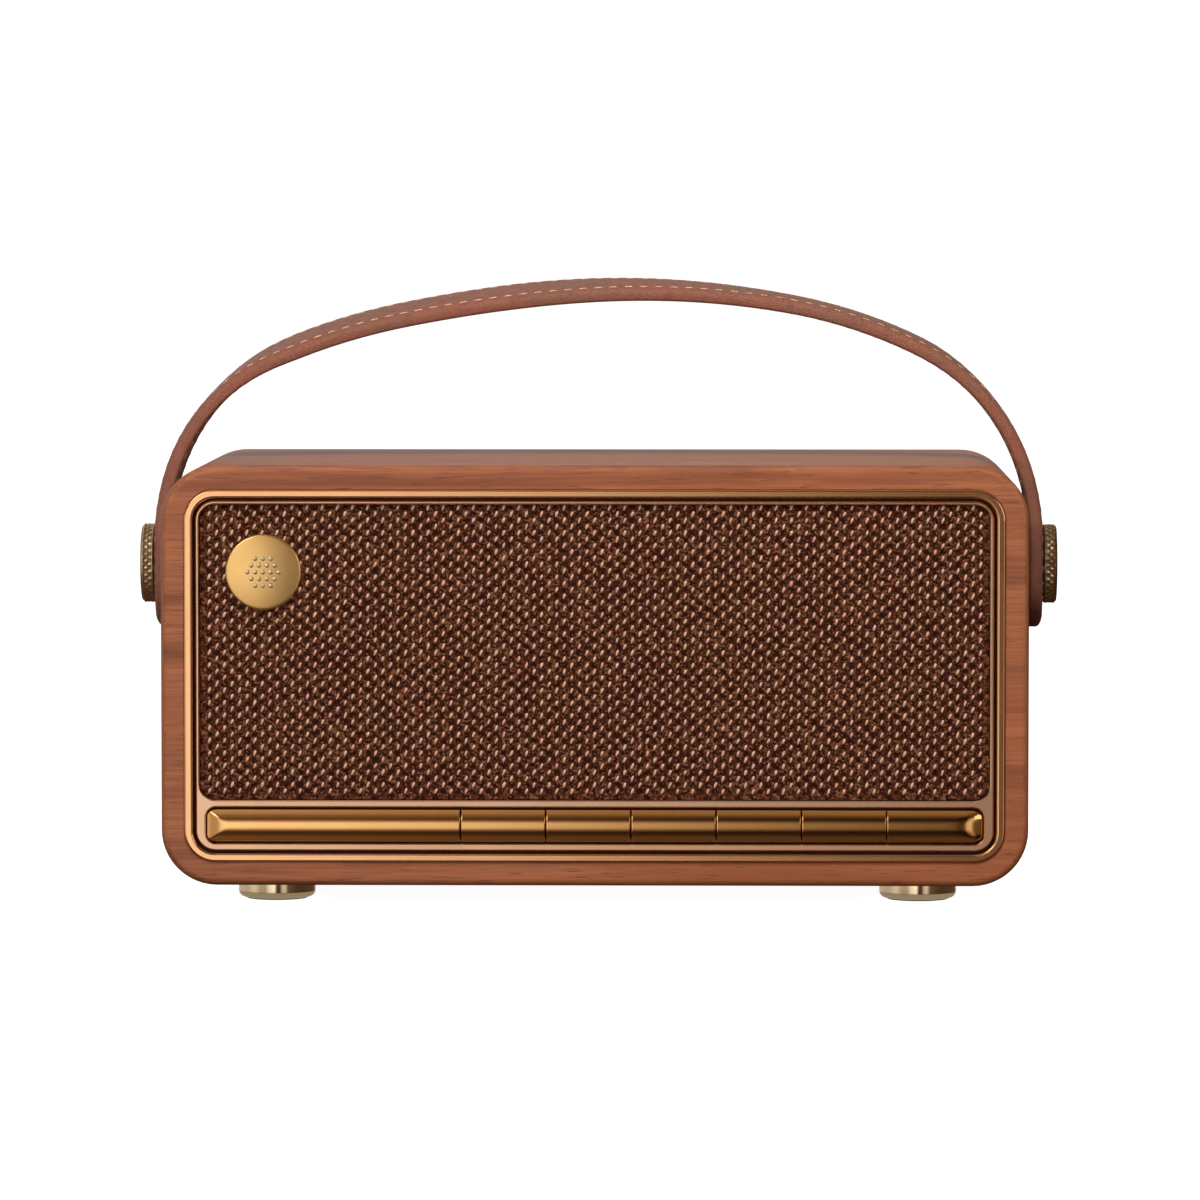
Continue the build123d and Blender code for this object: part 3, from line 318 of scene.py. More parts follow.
def circuit(name):
    """Solder mask over copper tracks."""
    g = Graph(bpy.data.materials.new(name))
    inputs = {"Vector": g.place((0.4, 0.4, 0.4), turn=(90, 0, 0)), "Scale": 1.0}
    inputs |= {"Mortar Size": 0.05, "Mortar": linear(52, 120, 70)}
    inputs |= {"Color1": linear(14, 62, 34), "Color2": linear(18, 74, 42)}
    tracks = g.add("TexBrick", "Color", inputs).node
    speckle = g.noise(g.place((0.5, 0.5, 0.5)), 1.0, 3.0)
    colour = g.mix(g.levels(speckle, 0.4, 0.7, 0.0, 0.4), tracks.outputs["Color"], linear(8, 44, 24))
    rough = g.levels(speckle, 0.3, 0.7, 0.3, 0.45)
    return g.finish(colour, rough, g.bump(tracks.outputs["Fac"], 0.03, 0.5))


def fibrous(name, colour, fleck, roughness, stretch, depth=0.12):
    """Pressed paper, foam, felt or end-grain block: a matt surface with flecks."""
    g = Graph(bpy.data.materials.new(name))
    fleck_noise = g.noise(g.place(stretch), 1.0, 5.0, 0.7)
    broad = g.noise(g.place((0.06, 0.06, 0.06)), 1.0, 2.0)
    tone = g.mix(g.levels(fleck_noise, 0.42, 0.68), colour, fleck)
    tone = g.mix(g.levels(broad, 0.3, 0.7, 0.0, 0.3), tone, fleck)
    return g.finish(tone, roughness, g.bump(fleck_noise, depth, 0.5), Specular_IOR_Level=0.25)


knob_low, knob_high = (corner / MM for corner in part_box("knob_left"))
AXIS_Z = (knob_low.z + knob_high.z) / 2  # height of the handle's pivot
KNOB_R = (knob_high.z - knob_low.z) / 2
WOOD = (linear(150, 90, 58), linear(112, 61, 37), linear(78, 40, 24))  # light, streak and pore
WOOD_WARM = linear(162, 89, 52)
# colour of the painted shade in the knobs' knurl grooves
KNURL_GROOVE_SHADE = (0.34, 0.26, 0.165, 1)
# Each metal's bright and dull colours
RING_GILT = ((0.86, 0.46, 0.22, 1), (0.70, 0.35, 0.16, 1))
PLATE_GILT = ((0.87, 0.54, 0.34, 1), (0.70, 0.41, 0.25, 1))
KEY_GILT = ((0.90, 0.50, 0.19, 1), (0.78, 0.38, 0.12, 1))
BADGE_GILT = ((1.0, 0.62, 0.23, 1), (0.90, 0.50, 0.17, 1))
DOT_GILT = ((0.95, 0.82, 0.62, 1), (0.86, 0.68, 0.46, 1))
KNOB_BRASS = ((0.92, 0.74, 0.48, 1), (0.60, 0.46, 0.27, 1))
FOOT_BRASS = ((0.88, 0.70, 0.45, 1), (0.76, 0.58, 0.36, 1))
PLAIN_BRASS = ((0.72, 0.55, 0.27, 1), (0.55, 0.41, 0.19, 1))
ALUMINIUM = ((0.80, 0.80, 0.81, 1), (0.62, 0.62, 0.64, 1))
STEEL = ((0.62, 0.61, 0.59, 1), (0.44, 0.43, 0.42, 1))
BLACK_STEEL = ((0.10, 0.10, 0.10, 1), (0.05, 0.05, 0.05, 1))
# Each leather's base, reddish and dark colours
STRAP_TONES = (linear(128, 85, 67), linear(134, 81, 65), linear(98, 62, 47))
EDGE_TONES = (linear(126, 82, 64), linear(136, 80, 63), linear(94, 58, 44))
LINING_TONES = (linear(120, 80, 62), linear(132, 78, 62), linear(88, 56, 44))
# Each matt material's colour and the colour of its flecks
BLOCK_WOOD = (linear(176, 138, 96), linear(140, 102, 66))
FERRITE = (linear(44, 44, 46), linear(62, 62, 64))
CONE_PAPER = (linear(30, 28, 27), linear(52, 48, 45))
FOAM = (linear(34, 34, 36), linear(58, 58, 60))
DOME_SILK = (linear(40, 36, 34), linear(70, 64, 58))

made = [
    walnut("walnut", *WOOD),
    fibrous("block_wood", *BLOCK_WOOD, 0.7, (0.05, 0.8, 0.8)),
    metal("gilt_frame", *RING_GILT, 0.11, (0.2, 9, 9)),
    metal("gilt_plate", *PLATE_GILT, 0.19, (0.2, 9, 9)),
    metal("gilt_keys", *KEY_GILT, 0.11, (0.1, 9, 9), 0.001, 0.2, 0.03),
    metal("badge_gold", *BADGE_GILT, 0.26, (3, 9, 9), 0.006),
    woven("grille_fabric"),
    moulded("black_plastic", linear(26, 24, 24), 0.5, 0.45, 0.05),
    moulded("baffle_plastic", linear(40, 14, 8), 0.6, 0.5, 0.04),
    circuit("circuit_board"),
    moulded("chip_plastic", linear(24, 24, 26), 0.45, 0.2, 0.02),
    moulded("capacitor_sleeve", linear(22, 26, 44), 0.3, 0.4, 0.01),
    moulded("cell_wrap", linear(30, 96, 150), 0.32, 0.6, 0.01),
    metal("bare_aluminium", *ALUMINIUM, 0.35, (4, 4, 0.2), 0.01),
    metal("steel", *STEEL, 0.32, (5, 5, 0.3), 0.01),
    metal("black_steel", *BLACK_STEEL, 0.38, (3, 3, 3), 0.02),
    fibrous("ferrite", *FERRITE, 0.65, (2, 2, 2), 0.05),
    fibrous("cone_paper", *CONE_PAPER, 0.85, (0.9, 0.9, 0.9)),
    moulded("soft_rubber", linear(22, 21, 21), 0.75, 0.6, 0.05),
    fibrous("foam", *FOAM, 0.95, (3, 3, 3), 0.2),
    fibrous("dome_silk", *DOME_SILK, 0.6, (5, 5, 5), 0.04),
    leather("strap_leather", *STRAP_TONES),
    turned_metal("knob_brass", *KNOB_BRASS, 0.34, AXIS_Z, (KNOB_R - 0.40, KNOB_R - 0.10)),
    metal("foot_brass", *FOOT_BRASS, 0.12, (9, 9, 0.4), 0.002, 0.2, 0.04),
    metal("plain_brass", *PLAIN_BRASS, 0.3, (4, 4, 4), 0.01),
]
finishes = {material.name.split(".")[0]: material for material in made}
edge_paint = leather("strap_edge_paint", *EDGE_TONES, 0.46)
lining_leather = leather("lining_leather", *LINING_TONES, 0.58)
stitch_yarn = slub_yarn(
    "stitch_yarn",
    linear(168, 118, 88),
    linear(222, 178, 142),
    [(0.0, (204, 154, 118)), (1.0, (214, 166, 130))],
    (0.3, 0.3, 0.3),
)
float_yarn = slub_yarn(
    "float_yarn",
    linear(150, 108, 92),
    linear(222, 186, 164),
    [(0.0, (206, 160, 140)), (0.35, (198, 158, 122)), (0.6, (206, 150, 132)), (0.85, (190, 160, 134))],
    (0.24, 0.02, 0.57),
)
dot_gold = metal("dot_gold", *DOT_GILT, 0.30, (9, 9, 3), 0.006)


# -------- mesh building
def loft(rings):
    """Points and faces of a closed skin over rings of equal count."""
    count = len(rings[0])
    points = [point for ring in rings for point in ring]
    faces = []
    for row in range(len(rings) - 1):
        low, high = row * count, (row + 1) * count
        for i in range(count):
            j = (i + 1) % count
            faces.append((low + i, low + j, high + j, high + i))
    last = (len(rings) - 1) * count
    faces.append(tuple(reversed(range(count))))
    faces.append(tuple(range(last, last + count)))
    return points, faces


def slab(points, rows, back_y):
    """A closed slab: its front as rows of points, its rim, and a flat back at back_y."""
    wide = len(points) // rows
    faces = []
    for row in range(rows - 1):
        for low in range(row * wide, (row + 1) * wide - 1):
            faces.append((low, low + 1, low + 1 + wide, low + wide))
    rim = list(range(wide))
    rim += [row * wide + wide - 1 for row in range(1, rows)]
    rim += [(rows - 1) * wide + column for column in range(wide - 2, -1, -1)]
    rim += [row * wide for row in range(rows - 2, 0, -1)]
    back = len(points)
    points += [(points[i][0], back_y, points[i][2]) for i in rim]
    for i in range(len(rim)):
        j = (i + 1) % len(rim)
        faces.append((rim[j], rim[i], back + i, back + j))
    faces.append(tuple(back + i for i in range(len(rim))))
    return points, faces


def joined(parts):
    """One list of points and faces from several."""
    points, faces = [], []
    for part_points, part_faces in parts:
        start = len(points)
        points.extend(part_points)
        faces.extend(tuple(start + i for i in face) for face in part_faces)
    return points, faces


def add_piece(name, shape, materials, body, sharp=40.0):
    """A mesh piece from points in millimetres, smooth except at edges sharper than sharp degrees."""
    points, faces = shape
    mesh = bpy.data.meshes.new(name)
    mesh.from_pydata([Vector(point) * MM for point in points], [], faces)
    for material in materials:
        mesh.materials.append(material)
    shell = bmesh.new()
    shell.from_mesh(mesh)
    bmesh.ops.recalc_face_normals(shell, faces=shell.faces)
    shell.to_mesh(mesh)
    shell.free()
    mesh.shade_smooth()
    mesh.set_sharp_from_angle(angle=math.radians(sharp))
    piece = bpy.data.objects.new(name, mesh)
    scene.collection.objects.link(piece)
    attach(piece, body)
    return piece


# -------- carried-over CAD nodes
for node_name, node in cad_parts.items():
    for place in node.material_slots:
        finish = finishes.get(place.material.name.split(".")[0])
        if finish is None:
            raise RuntimeError(f"no finish for {place.material.name} on {node_name}")
        place.material = finish


# -------- grille cloth
cloth_low, cloth_high = (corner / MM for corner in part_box("grille_cloth"))
CLOTH_W = cloth_high.x - cloth_low.x
CLOTH_H = cloth_high.z - cloth_low.z
CLOTH_FRONT = cloth_low.y
CLOTH_BACK = cloth_high.y
CLOTH_CORNER = 4.5
CLOTH_MIDDLE = (cloth_low.z + cloth_high.z) / 2
WEAVE_STEP = 0.5
WEAVE_RELIEF = 0.16


def cloth_half_width(z):
    """Half the cloth's width at a height: its four corners are round."""
    over = abs(z - CLOTH_MIDDLE) - (CLOTH_H / 2 - CLOTH_CORNER)
    if over <= 0:
        return CLOTH_W / 2
    return CLOTH_W / 2 - CLOTH_CORNER + math.sqrt(max(0.0, CLOTH_CORNER**2 - over**2))


def weave_lift(x, z):
    """Height of the weave: up under each slub, down in the pits between them."""
    return math.cos(2 * math.pi * x / WEAVE_X) * math.cos(2 * math.pi * z / WEAVE_Z)


def weave_shape():
    columns = round(CLOTH_W / WEAVE_STEP)
    rows = round(CLOTH_H / WEAVE_STEP)
    points = []
    for row in range(rows + 1):
        z = cloth_low.z + CLOTH_H * row / rows
        half = cloth_half_width(z)
        for column in range(columns + 1):
            x = half * (2 * column / columns - 1)
            points.append((x, CLOTH_FRONT - WEAVE_RELIEF * weave_lift(x, z), z))
    return slab(points, rows + 1, CLOTH_BACK)


SLUB_L = 1.72
SLUB_W = 0.70
SLUB_T = 0.56
SLUB_LEAN = 21.0  # degrees from upright
SLUB_RINGS = 7
SLUB_SIDES = 8
badge_at = middle("badge") / MM
BADGE_R = (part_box("badge")[1].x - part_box("badge")[0].x) / 2 / MM


def slub(x, z):
    """One float of pale yarn: a short leaning grain, thickest at its middle."""
    lean = math.radians(SLUB_LEAN + pick.uniform(-5, 5))
    length = SLUB_L * pick.uniform(0.88, 1.1)
    width = SLUB_W * pick.uniform(0.88, 1.12)
    height = SLUB_T * pick.uniform(0.9, 1.1)
    rings = []
    for ring in range(SLUB_RINGS):
        along = -math.cos(math.pi * (ring + 0.35) / (SLUB_RINGS - 0.3))
        full = math.sqrt(max(0.02, 1 - along * along)) * (1 + 0.18 * along)
        points = []
        for side in range(SLUB_SIDES):
            turn = 2 * math.pi * side / SLUB_SIDES
            across = 0.5 * width * full * math.cos(turn)
            proud = 0.5 * height * full * math.sin(turn)
            up = 0.5 * length * along
            points.append(
                (
                    x + across * math.cos(lean) + up * math.sin(lean),
                    CLOTH_FRONT - WEAVE_RELIEF - 0.06 - proud + 0.16 * along * along,
                    z - across * math.sin(lean) + up * math.cos(lean),
                )
            )
        rings.append(points)
    return loft(rings)


def slub_shapes():
    shapes = []
    margin = 0.75
    rows = math.ceil(CLOTH_H / WEAVE_Z) + 2
    columns = math.ceil(CLOTH_W / WEAVE_X) + 2
    for row in range(-1, 2 * rows):
        z = WEAVE_Z * (math.floor(cloth_low.z / WEAVE_Z) + row / 2)
        for column in range(columns):
            x = WEAVE_X * (column - columns // 2 + (row % 2) / 2)
            half = cloth_half_width(z)
            inside = abs(x) < half - margin and abs(z - CLOTH_MIDDLE) < CLOTH_H / 2 - margin
            covered = math.hypot(x - badge_at.x, z - badge_at.z) < BADGE_R - 1.2
            if inside and not covered:
                shapes.append(slub(x, z))
    return shapes


grille_weave = add_piece(
    "grille_weave", weave_shape(), [finishes["grille_fabric"]], "cabinet"
)
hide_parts("grille_cloth")
grille_slubs = add_piece(
    "grille_slubs", joined(slub_shapes()), [float_yarn], "cabinet", 80
)

# -------- keys
KEY_H = 9.0
KEY_CROWN = 1.6
KEY_HIP = 6.0
KEY_END_R = 2.4
KEY_FILLET = 0.28
KEY_SOFT = 0.10  # how far the hip ridge is blunted
KEY_STEM_W = 6.0
KEY_STEM_H = 2.5
KEY_COLLAR_W = 8.4
KEY_COLLAR_T = 1.5
BAFFLE_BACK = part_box("face_plate")[0].y / MM + 6.05  # the collars run against it
key_low, key_high = (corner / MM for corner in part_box("key_bar"))
KEY_MIDDLE = (key_low.z + key_high.z) / 2
KEY_APEX = key_low.y
KEY_EDGE = KEY_APEX + KEY_CROWN
KEY_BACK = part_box("front_baffle")[0].y / MM - 1.2
ROW_LEFT = key_low.x
ROW_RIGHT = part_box("key_6")[1].x / MM
CROWN_R = ((KEY_H / 2) ** 2 + KEY_CROWN**2) / (2 * KEY_CROWN)
HIP_R = (KEY_HIP**2 + KEY_CROWN**2) / (2 * KEY_CROWN)


def key_height(x, z):
    """How far the key row stands out: a crown across, met by a hip at both ends of the row."""
    crown = math.sqrt(CROWN_R**2 - (z - KEY_MIDDLE) ** 2) - (CROWN_R - KEY_CROWN)
    from_end = min(x - ROW_LEFT, ROW_RIGHT - x, KEY_HIP)
    hip = math.sqrt(HIP_R**2 - (KEY_HIP - from_end) ** 2) - (HIP_R - KEY_CROWN)
    gap = crown - hip
    return (crown + hip - math.sqrt(gap * gap + KEY_SOFT**2)) / 2 + KEY_SOFT / 2


def spaced(low, high, steps, first, last):
    """Places from low to high, crowded near an end that is rounded over."""
    places = {low + (high - low) * i / steps for i in range(steps + 1)}
    for size, at, way in ((first, low, 1), (last, high, -1)):
        places |= {at + way * size * (1 - math.cos(math.pi / 2 * k / 8)) for k in range(9)}
    ordered = sorted(places)
    return [ordered[0]] + [b for a, b in zip(ordered, ordered[1:]) if b - a > 1e-4]


def key_shape(left, right):
    """A key cap between two seams, rounded over all round its face, with the round ends of the row."""
    first = KEY_END_R if left == ROW_LEFT else KEY_FILLET
    last = KEY_END_R if right == ROW_RIGHT else KEY_FILLET
    steps = max(6, round((right - left) / 2.5))
    across = set(spaced(left, right, steps, first, last))
    across |= set(spaced(left, right, 1, KEY_FILLET, KEY_FILLET))
    across |= {ROW_LEFT + k * 0.4 for k in range(17) if left == ROW_LEFT}
    across |= {ROW_RIGHT - k * 0.4 for k in range(17) if right == ROW_RIGHT}
    across |= {left + KEY_FILLET + 0.06, right - KEY_FILLET - 0.06}
    across = sorted(across)
    across = [across[0]] + [b for a, b in zip(across, across[1:]) if b - a > 1e-3]
    up = spaced(-1.0, 1.0, 36, 2 * KEY_FILLET / KEY_H, 2 * KEY_FILLET / KEY_H)
    points = []
    for x in across:
        half = KEY_H / 2
        from_end = min(x - ROW_LEFT, ROW_RIGHT - x)
        if from_end < KEY_END_R:
            half -= KEY_END_R - math.sqrt(max(0.0, KEY_END_R**2 - (KEY_END_R - from_end) ** 2))
        for share in up:
            z = KEY_MIDDLE + share * half
            edge = min(x - left, right - x, half * (1 - abs(share)))
            drop = 0.0
            if edge < KEY_FILLET:
                drop = KEY_FILLET - math.sqrt(max(0.0, KEY_FILLET**2 - (KEY_FILLET - edge) ** 2))
            points.append((x, KEY_EDGE - key_height(x, z) + drop, z))
    return slab(points, len(across), KEY_BACK)


def box_shape(x, middle_y, size):
    """An upright box on the keys' centre line, as a loft of two rings."""
    half_x, half_y, half_z = (part / 2 for part in size)
    corners = ((-half_x, -half_z), (half_x, -half_z), (half_x, half_z), (-half_x, half_z))
    rings = []
    for y in (middle_y - half_y, middle_y + half_y):
        rings.append([(x + across, y, KEY_MIDDLE + up) for across, up in corners])
    return loft(rings)


def stem_shapes(node):
    """The stem behind a key, and the collar that stops it from coming out."""
    x = middle(node).x / MM
    stem_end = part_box(node)[1].y / MM
    stem = box_shape(x, (KEY_BACK + stem_end) / 2, (KEY_STEM_W, stem_end - KEY_BACK, KEY_STEM_H))
    collar_size = (KEY_COLLAR_W, KEY_COLLAR_T, KEY_STEM_H + 0.01)
    return [stem, box_shape(x, BAFFLE_BACK + KEY_COLLAR_T / 2, collar_size)]


for number in range(1, 7):
    node = f"key_{number}"
    low, high = (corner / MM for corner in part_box(node))
    shape = joined([key_shape(low.x, high.x), *stem_shapes(node)])
    key_cap = add_piece(f"{node}_cap", shape, [finishes["gilt_keys"]], node, 50)
    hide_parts(node)

bar_shape = key_shape(key_low.x, key_high.x)
bar_cap = add_piece("key_bar_cap", bar_shape, [finishes["gilt_keys"]], "cabinet", 50)
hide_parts("key_bar")


# -------- turned pieces
def turned(profile, steps, place):
    """Skin of a turned part: profile is (radius, height) from the middle of one face to the other's."""
    rings = []
    for radius, height in profile:
        rings.append([place(radius, height, 2 * math.pi * i / steps) for i in range(steps)])
    return loft(rings)


def rounded(corner, before, after, radius, steps):
    """Points of a rounded corner of a profile."""
    corner, before, after = (Vector(point) for point in (corner, before, after))
    start = corner + (before - corner).normalized() * radius
    end = corner + (after - corner).normalized() * radius
    shares = [k / steps for k in range(steps + 1)]
    return [tuple(start.lerp(corner, t).lerp(corner.lerp(end, t), t)) for t in shares]


# -------- badge
BADGE_T = 1.4
BADGE_DOME = 0.6
BADGE_PIN = 1.5
DOT_R = 0.62
DOT_PITCH = 2.15
DOT_PROUD = 0.22
DOT_SUNK = 0.15


def badge_front(radius):
    """Height of the badge's domed face above the cloth."""
    sphere = (BADGE_R**2 + BADGE_DOME**2) / (2 * BADGE_DOME)
    return BADGE_T + math.sqrt(sphere**2 - radius**2) - (sphere - BADGE_DOME)


def badge_place(x, z):
    """Places a turned profile's points on the cloth, x and z away from the badge's middle."""

    def place(radius, height, turn):
        across = radius * math.cos(turn)
        up = radius * math.sin(turn)
        return (badge_at.x + x + across, CLOTH_FRONT - height, badge_at.z + z + up)

    return place


def badge_shape():
    rim = rounded((BADGE_R, BADGE_T), (BADGE_R, 0), (BADGE_R - 3, badge_front(BADGE_R - 3)), 0.5, 6)
    pin_end = CLOTH_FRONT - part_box("badge")[1].y / MM
    profile = [(0.05, pin_end), (BADGE_PIN, pin_end), (BADGE_PIN, 0)]
    profile += [(BADGE_R - 0.2, 0), (BADGE_R, 0.2), *rim]
    profile += [(radius, badge_front(radius)) for radius in np.linspace(BADGE_R - 0.9, 0.05, 24)]
    return turned(profile, 96, badge_place(0, 0))


def dot_shapes():
    """A honeycomb of 19 low studs, the badge's plain ornament."""
    shapes = []
    for row in range(-2, 3):
        for column in range(-2, 3):
            x = DOT_PITCH * (column + row / 2)
            z = DOT_PITCH * row * math.sqrt(3) / 2
            if abs(column + row) > 2:
                continue
            base = badge_front(math.hypot(x, z)) - DOT_SUNK
            profile = [(DOT_R, base)]
            for lift in np.linspace(0, math.pi / 2 - 0.08, 7):
                profile.append((DOT_R * math.cos(lift), base + DOT_SUNK + DOT_PROUD * math.sin(lift)))
            shapes.append(turned(profile, 20, badge_place(x, z)))
    return shapes


badge_disc = add_piece(
    "badge_disc", badge_shape(), [finishes["badge_gold"]], "cabinet", 35
)
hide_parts("badge")
add_piece("badge_dots", joined(dot_shapes()), [dot_gold], "cabinet", 60)

# -------- knobs
KNURL_AROUND = 33
KNURL_PITCH = 2.06
KNURL_DEPTH = 0.46
KNOB_CHAMFER = 0.7
KNOB_BORE_R = 3.1
KNOB_BORE_DEEP = 2.4


def knurl(turn, height):
    """Depth of the crossed grooves at a place on a knob's rim: 0 on a point, 1 in a groove."""
    around = KNURL_AROUND * turn / (2 * math.pi)
    along = height / KNURL_PITCH
    first = abs(2 * ((around + along) % 1) - 1)
    second = abs(2 * ((around - along) % 1) - 1)
    return 1 - math.sqrt(min(first, second))


def knob_shape(side, low, high):
    """One knurled thumb knob; height runs outwards from the strap."""
    radius = (high.z - low.z) / 2
    centre = (high.z + low.z) / 2
    inner = low.x if side > 0 else -high.x
    thick = high.x - low.x
    band_low, band_high = 0.5, thick - KNOB_CHAMFER
    profile = [(0.05, KNOB_BORE_DEEP), (KNOB_BORE_R, KNOB_BORE_DEEP)]
    profile += [(KNOB_BORE_R, 0.0), (radius - 0.5, 0.0)]
    steps = 24
    profile += [(radius, band_low + (band_high - band_low) * i / steps) for i in range(steps + 1)]
    profile += [(radius - 0.35, thick - 0.35), (radius - KNOB_CHAMFER, thick)]
    profile += [(radius - 2.2, thick), (radius - 2.6, thick - 0.4)]
    profile += [(2.2, thick - 0.4), (1.4, thick - 0.75)]
    profile += [(0.05, thick - 0.8)]

    def place(ring_radius, height, turn):
        if ring_radius == radius:
            fade = smooth_step(min(height - band_low, band_high - height), -0.05, 0.35)
            ring_radius -= KNURL_DEPTH * knurl(turn, height) * fade
        x = side * (inner + height)
        return (x, ring_radius * math.cos(turn), centre + ring_radius * math.sin(turn))

    return turned(profile, KNURL_AROUND * 12, place)


for name, side in (("knob_left", -1), ("knob_right", 1)):
    low, high = (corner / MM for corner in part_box(name))
    shape = knob_shape(side, low, high)
    knob = add_piece(f"{name}_knurled", shape, [finishes["knob_brass"]], name, 25)
    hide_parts(name)

# -------- feet
FOOT_FILLET = 2.0
FOOT_BEVEL = 0.4
PAD_SEAT_R = 8.6
PAD_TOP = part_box("foot_pads")[1].z / MM
SCREW_HEAD_R = 3.6
SCREW_HEAD_T = 2.5
SCREW_HOLE_R = 2.1


def foot_shape(low, high):
    """A polished disc foot with the seat for its pad and the hole for its screw."""
    radius = (high.x - low.x) / 2
    centre = (low + high) / 2
    bottom, top = low.z, high.z
    head_top = PAD_TOP + SCREW_HEAD_T
    profile = [(SCREW_HOLE_R, top), (SCREW_HOLE_R, head_top), (SCREW_HEAD_R, head_top)]
    profile += [(SCREW_HEAD_R, PAD_TOP), (PAD_SEAT_R, PAD_TOP), (PAD_SEAT_R, bottom)]
    for lift in np.linspace(0, math.pi / 2, 10):
        across = radius - FOOT_FILLET + FOOT_FILLET * math.sin(lift)
        profile.append((across, bottom + FOOT_FILLET - FOOT_FILLET * math.cos(lift)))
    profile += [(radius, top - FOOT_BEVEL), (radius - FOOT_BEVEL, top), (SCREW_HOLE_R + 0.01, top)]

    def place(ring_radius, height, turn):
        across = ring_radius * math.cos(turn)
        return (centre.x + across, centre.y + ring_radius * math.sin(turn), height)

    points, faces = turned(profile, 128, place)
    return points, faces[:-2]  # the screw's hole goes right through, so it has no end faces


FEET = ("foot_front_left", "foot_front_right", "foot_rear_left", "foot_rear_right")
for node in FEET:
    low, high = (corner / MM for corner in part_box(node))
    shape = foot_shape(low, high)
    foot = add_piece(f"{node}_disc", shape, [finishes["foot_brass"]], "cabinet", 25)
    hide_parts(node)

# -------- leather strap
HANDLE_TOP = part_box("handle_strap")[1].z / MM
LEG_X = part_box("handle_strap")[1].x / MM
STRAP_END_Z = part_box("handle_strap")[0].z / MM
STRAP_T = 4.4
LINING_T = 1.7
CORE_T = 0.8
CORE_HALF = 8.0
STRAP_HALF_TOP = 11.5
STRAP_HALF_END = 14.0
STUD_HOLE_R = 3.1
TAPER_LOW = AXIS_Z + 6
TAPER_HIGH = AXIS_Z + 22
STITCH_INSET = 3.0
STITCH_PITCH = 4.3
STITCH_L = 3.1
STITCH_R = 0.34
STITCH_SUNK = 0.40
STITCH_DIP = 0.30  # how much deeper its ends lie
STITCH_LEAN = 0.10
TAB_STITCHES = 16  # round half a tab's edge
EDGE_ROUND = {"outer": 1.9, "lining": 0.9}
END_ROUND = {"outer": 4.2, "lining": 1.6}  # how far from its end a tab starts to thin
END_DROP = {"outer": 1.9, "lining": 0.9}
SAG_LEFT = 1.45  # how far the left half hangs down and the right half stands up
SAG_MIDDLE = 1.2
SAG_SHOULDER = 0.5
ROLL = 3.6  # degrees towards the front over the whole span
ROLL_LEFT = 5.6  # and how much more on the left half
CHANNEL_DEPTH = 0.22
CHANNEL_HALF = 0.7
# Radius and end angle from straight up of the arch's three arcs, from the crown down
ARCH = ((278.0, 11.45), (151.6, 26.02), (61.4, 90.0))


def arch(distance):
    """Place (x, z) and lean from upright of the strap's outer line, at a distance from its top."""
    side = 1 if distance >= 0 else -1
    left = abs(distance)
    centre_x, centre_z, start, last_radius = 0.0, HANDLE_TOP, 0.0, 0.0
    for radius, end in ARCH:
        centre_x += (last_radius - radius) * math.sin(start)
        centre_z += (last_radius - radius) * math.cos(start)
        turn = math.radians(end) - start
        if left <= radius * turn:
            lean = start + left / radius
            x = centre_x + radius * math.sin(lean)
            return side * x, centre_z + radius * math.cos(lean), side * lean
        left -= radius * turn
        start += turn
        last_radius = radius
    return side * (centre_x + last_radius), centre_z - left, side * math.pi / 2


ARCH_HALF = 0.0
previous_end = 0.0
for radius, end in ARCH:
    ARCH_HALF += radius * math.radians(end - previous_end)
    previous_end = end
LEG_TOP = arch(ARCH_HALF)[1]
STRAP_HALF_LENGTH = ARCH_HALF + LEG_TOP - STRAP_END_Z


def strap_half_width(z):
    """Half the strap's width at a height: round tabs at the knobs, narrower over the hand."""
    tab_middle = STRAP_END_Z + STRAP_HALF_END
    if z < tab_middle:
        return math.sqrt(max(0.01, STRAP_HALF_END**2 - (tab_middle - z) ** 2))
    return STRAP_HALF_END + (STRAP_HALF_TOP - STRAP_HALF_END) * smooth_step(z, TAPER_LOW, TAPER_HIGH)


def strap_twist(x):
    """The strap rolls a few degrees towards the front, most on its left half, as worn leather does."""
    rise = smooth_step(x, -122, -84)
    fall = 1 - smooth_step(x, -30, 66)
    settle = 1 - smooth_step(x, 92, 122)
    return math.radians(ROLL + ROLL_LEFT * fall) * rise * settle


def strap_place(distance, across, out):
    """Point of the strap: across is towards the back, out is from its middle layer outwards."""
    x, z, lean = arch(distance)
    outward = Vector((math.sin(lean), 0, math.cos(lean)))
    turn = strap_twist(x)
    along = math.pi * x / LEG_X
    sag = SAG_LEFT * math.sin(along)
    sag -= SAG_MIDDLE * math.cos(along / 2) ** 2 + SAG_SHOULDER * math.sin(along) ** 2
    centre = Vector((x, 0, z + sag)) - outward * STRAP_T / 2
    depth = across * math.cos(turn) - out * math.sin(turn)
    height = out * math.cos(turn) + across * math.sin(turn)
    return centre + Vector((0, depth, 0)) + outward * height


def strap_stations(half_length):
    """Distances along the strap from its top, close together at the round ends."""
    reach = half_length - STRAP_HALF_END
    places = list(np.linspace(0, reach, 100))
    places += [reach + STRAP_HALF_END * math.sin(math.pi / 2 * k / 16) for k in range(1, 17)]
    return [-place for place in reversed(places[1:])] + places


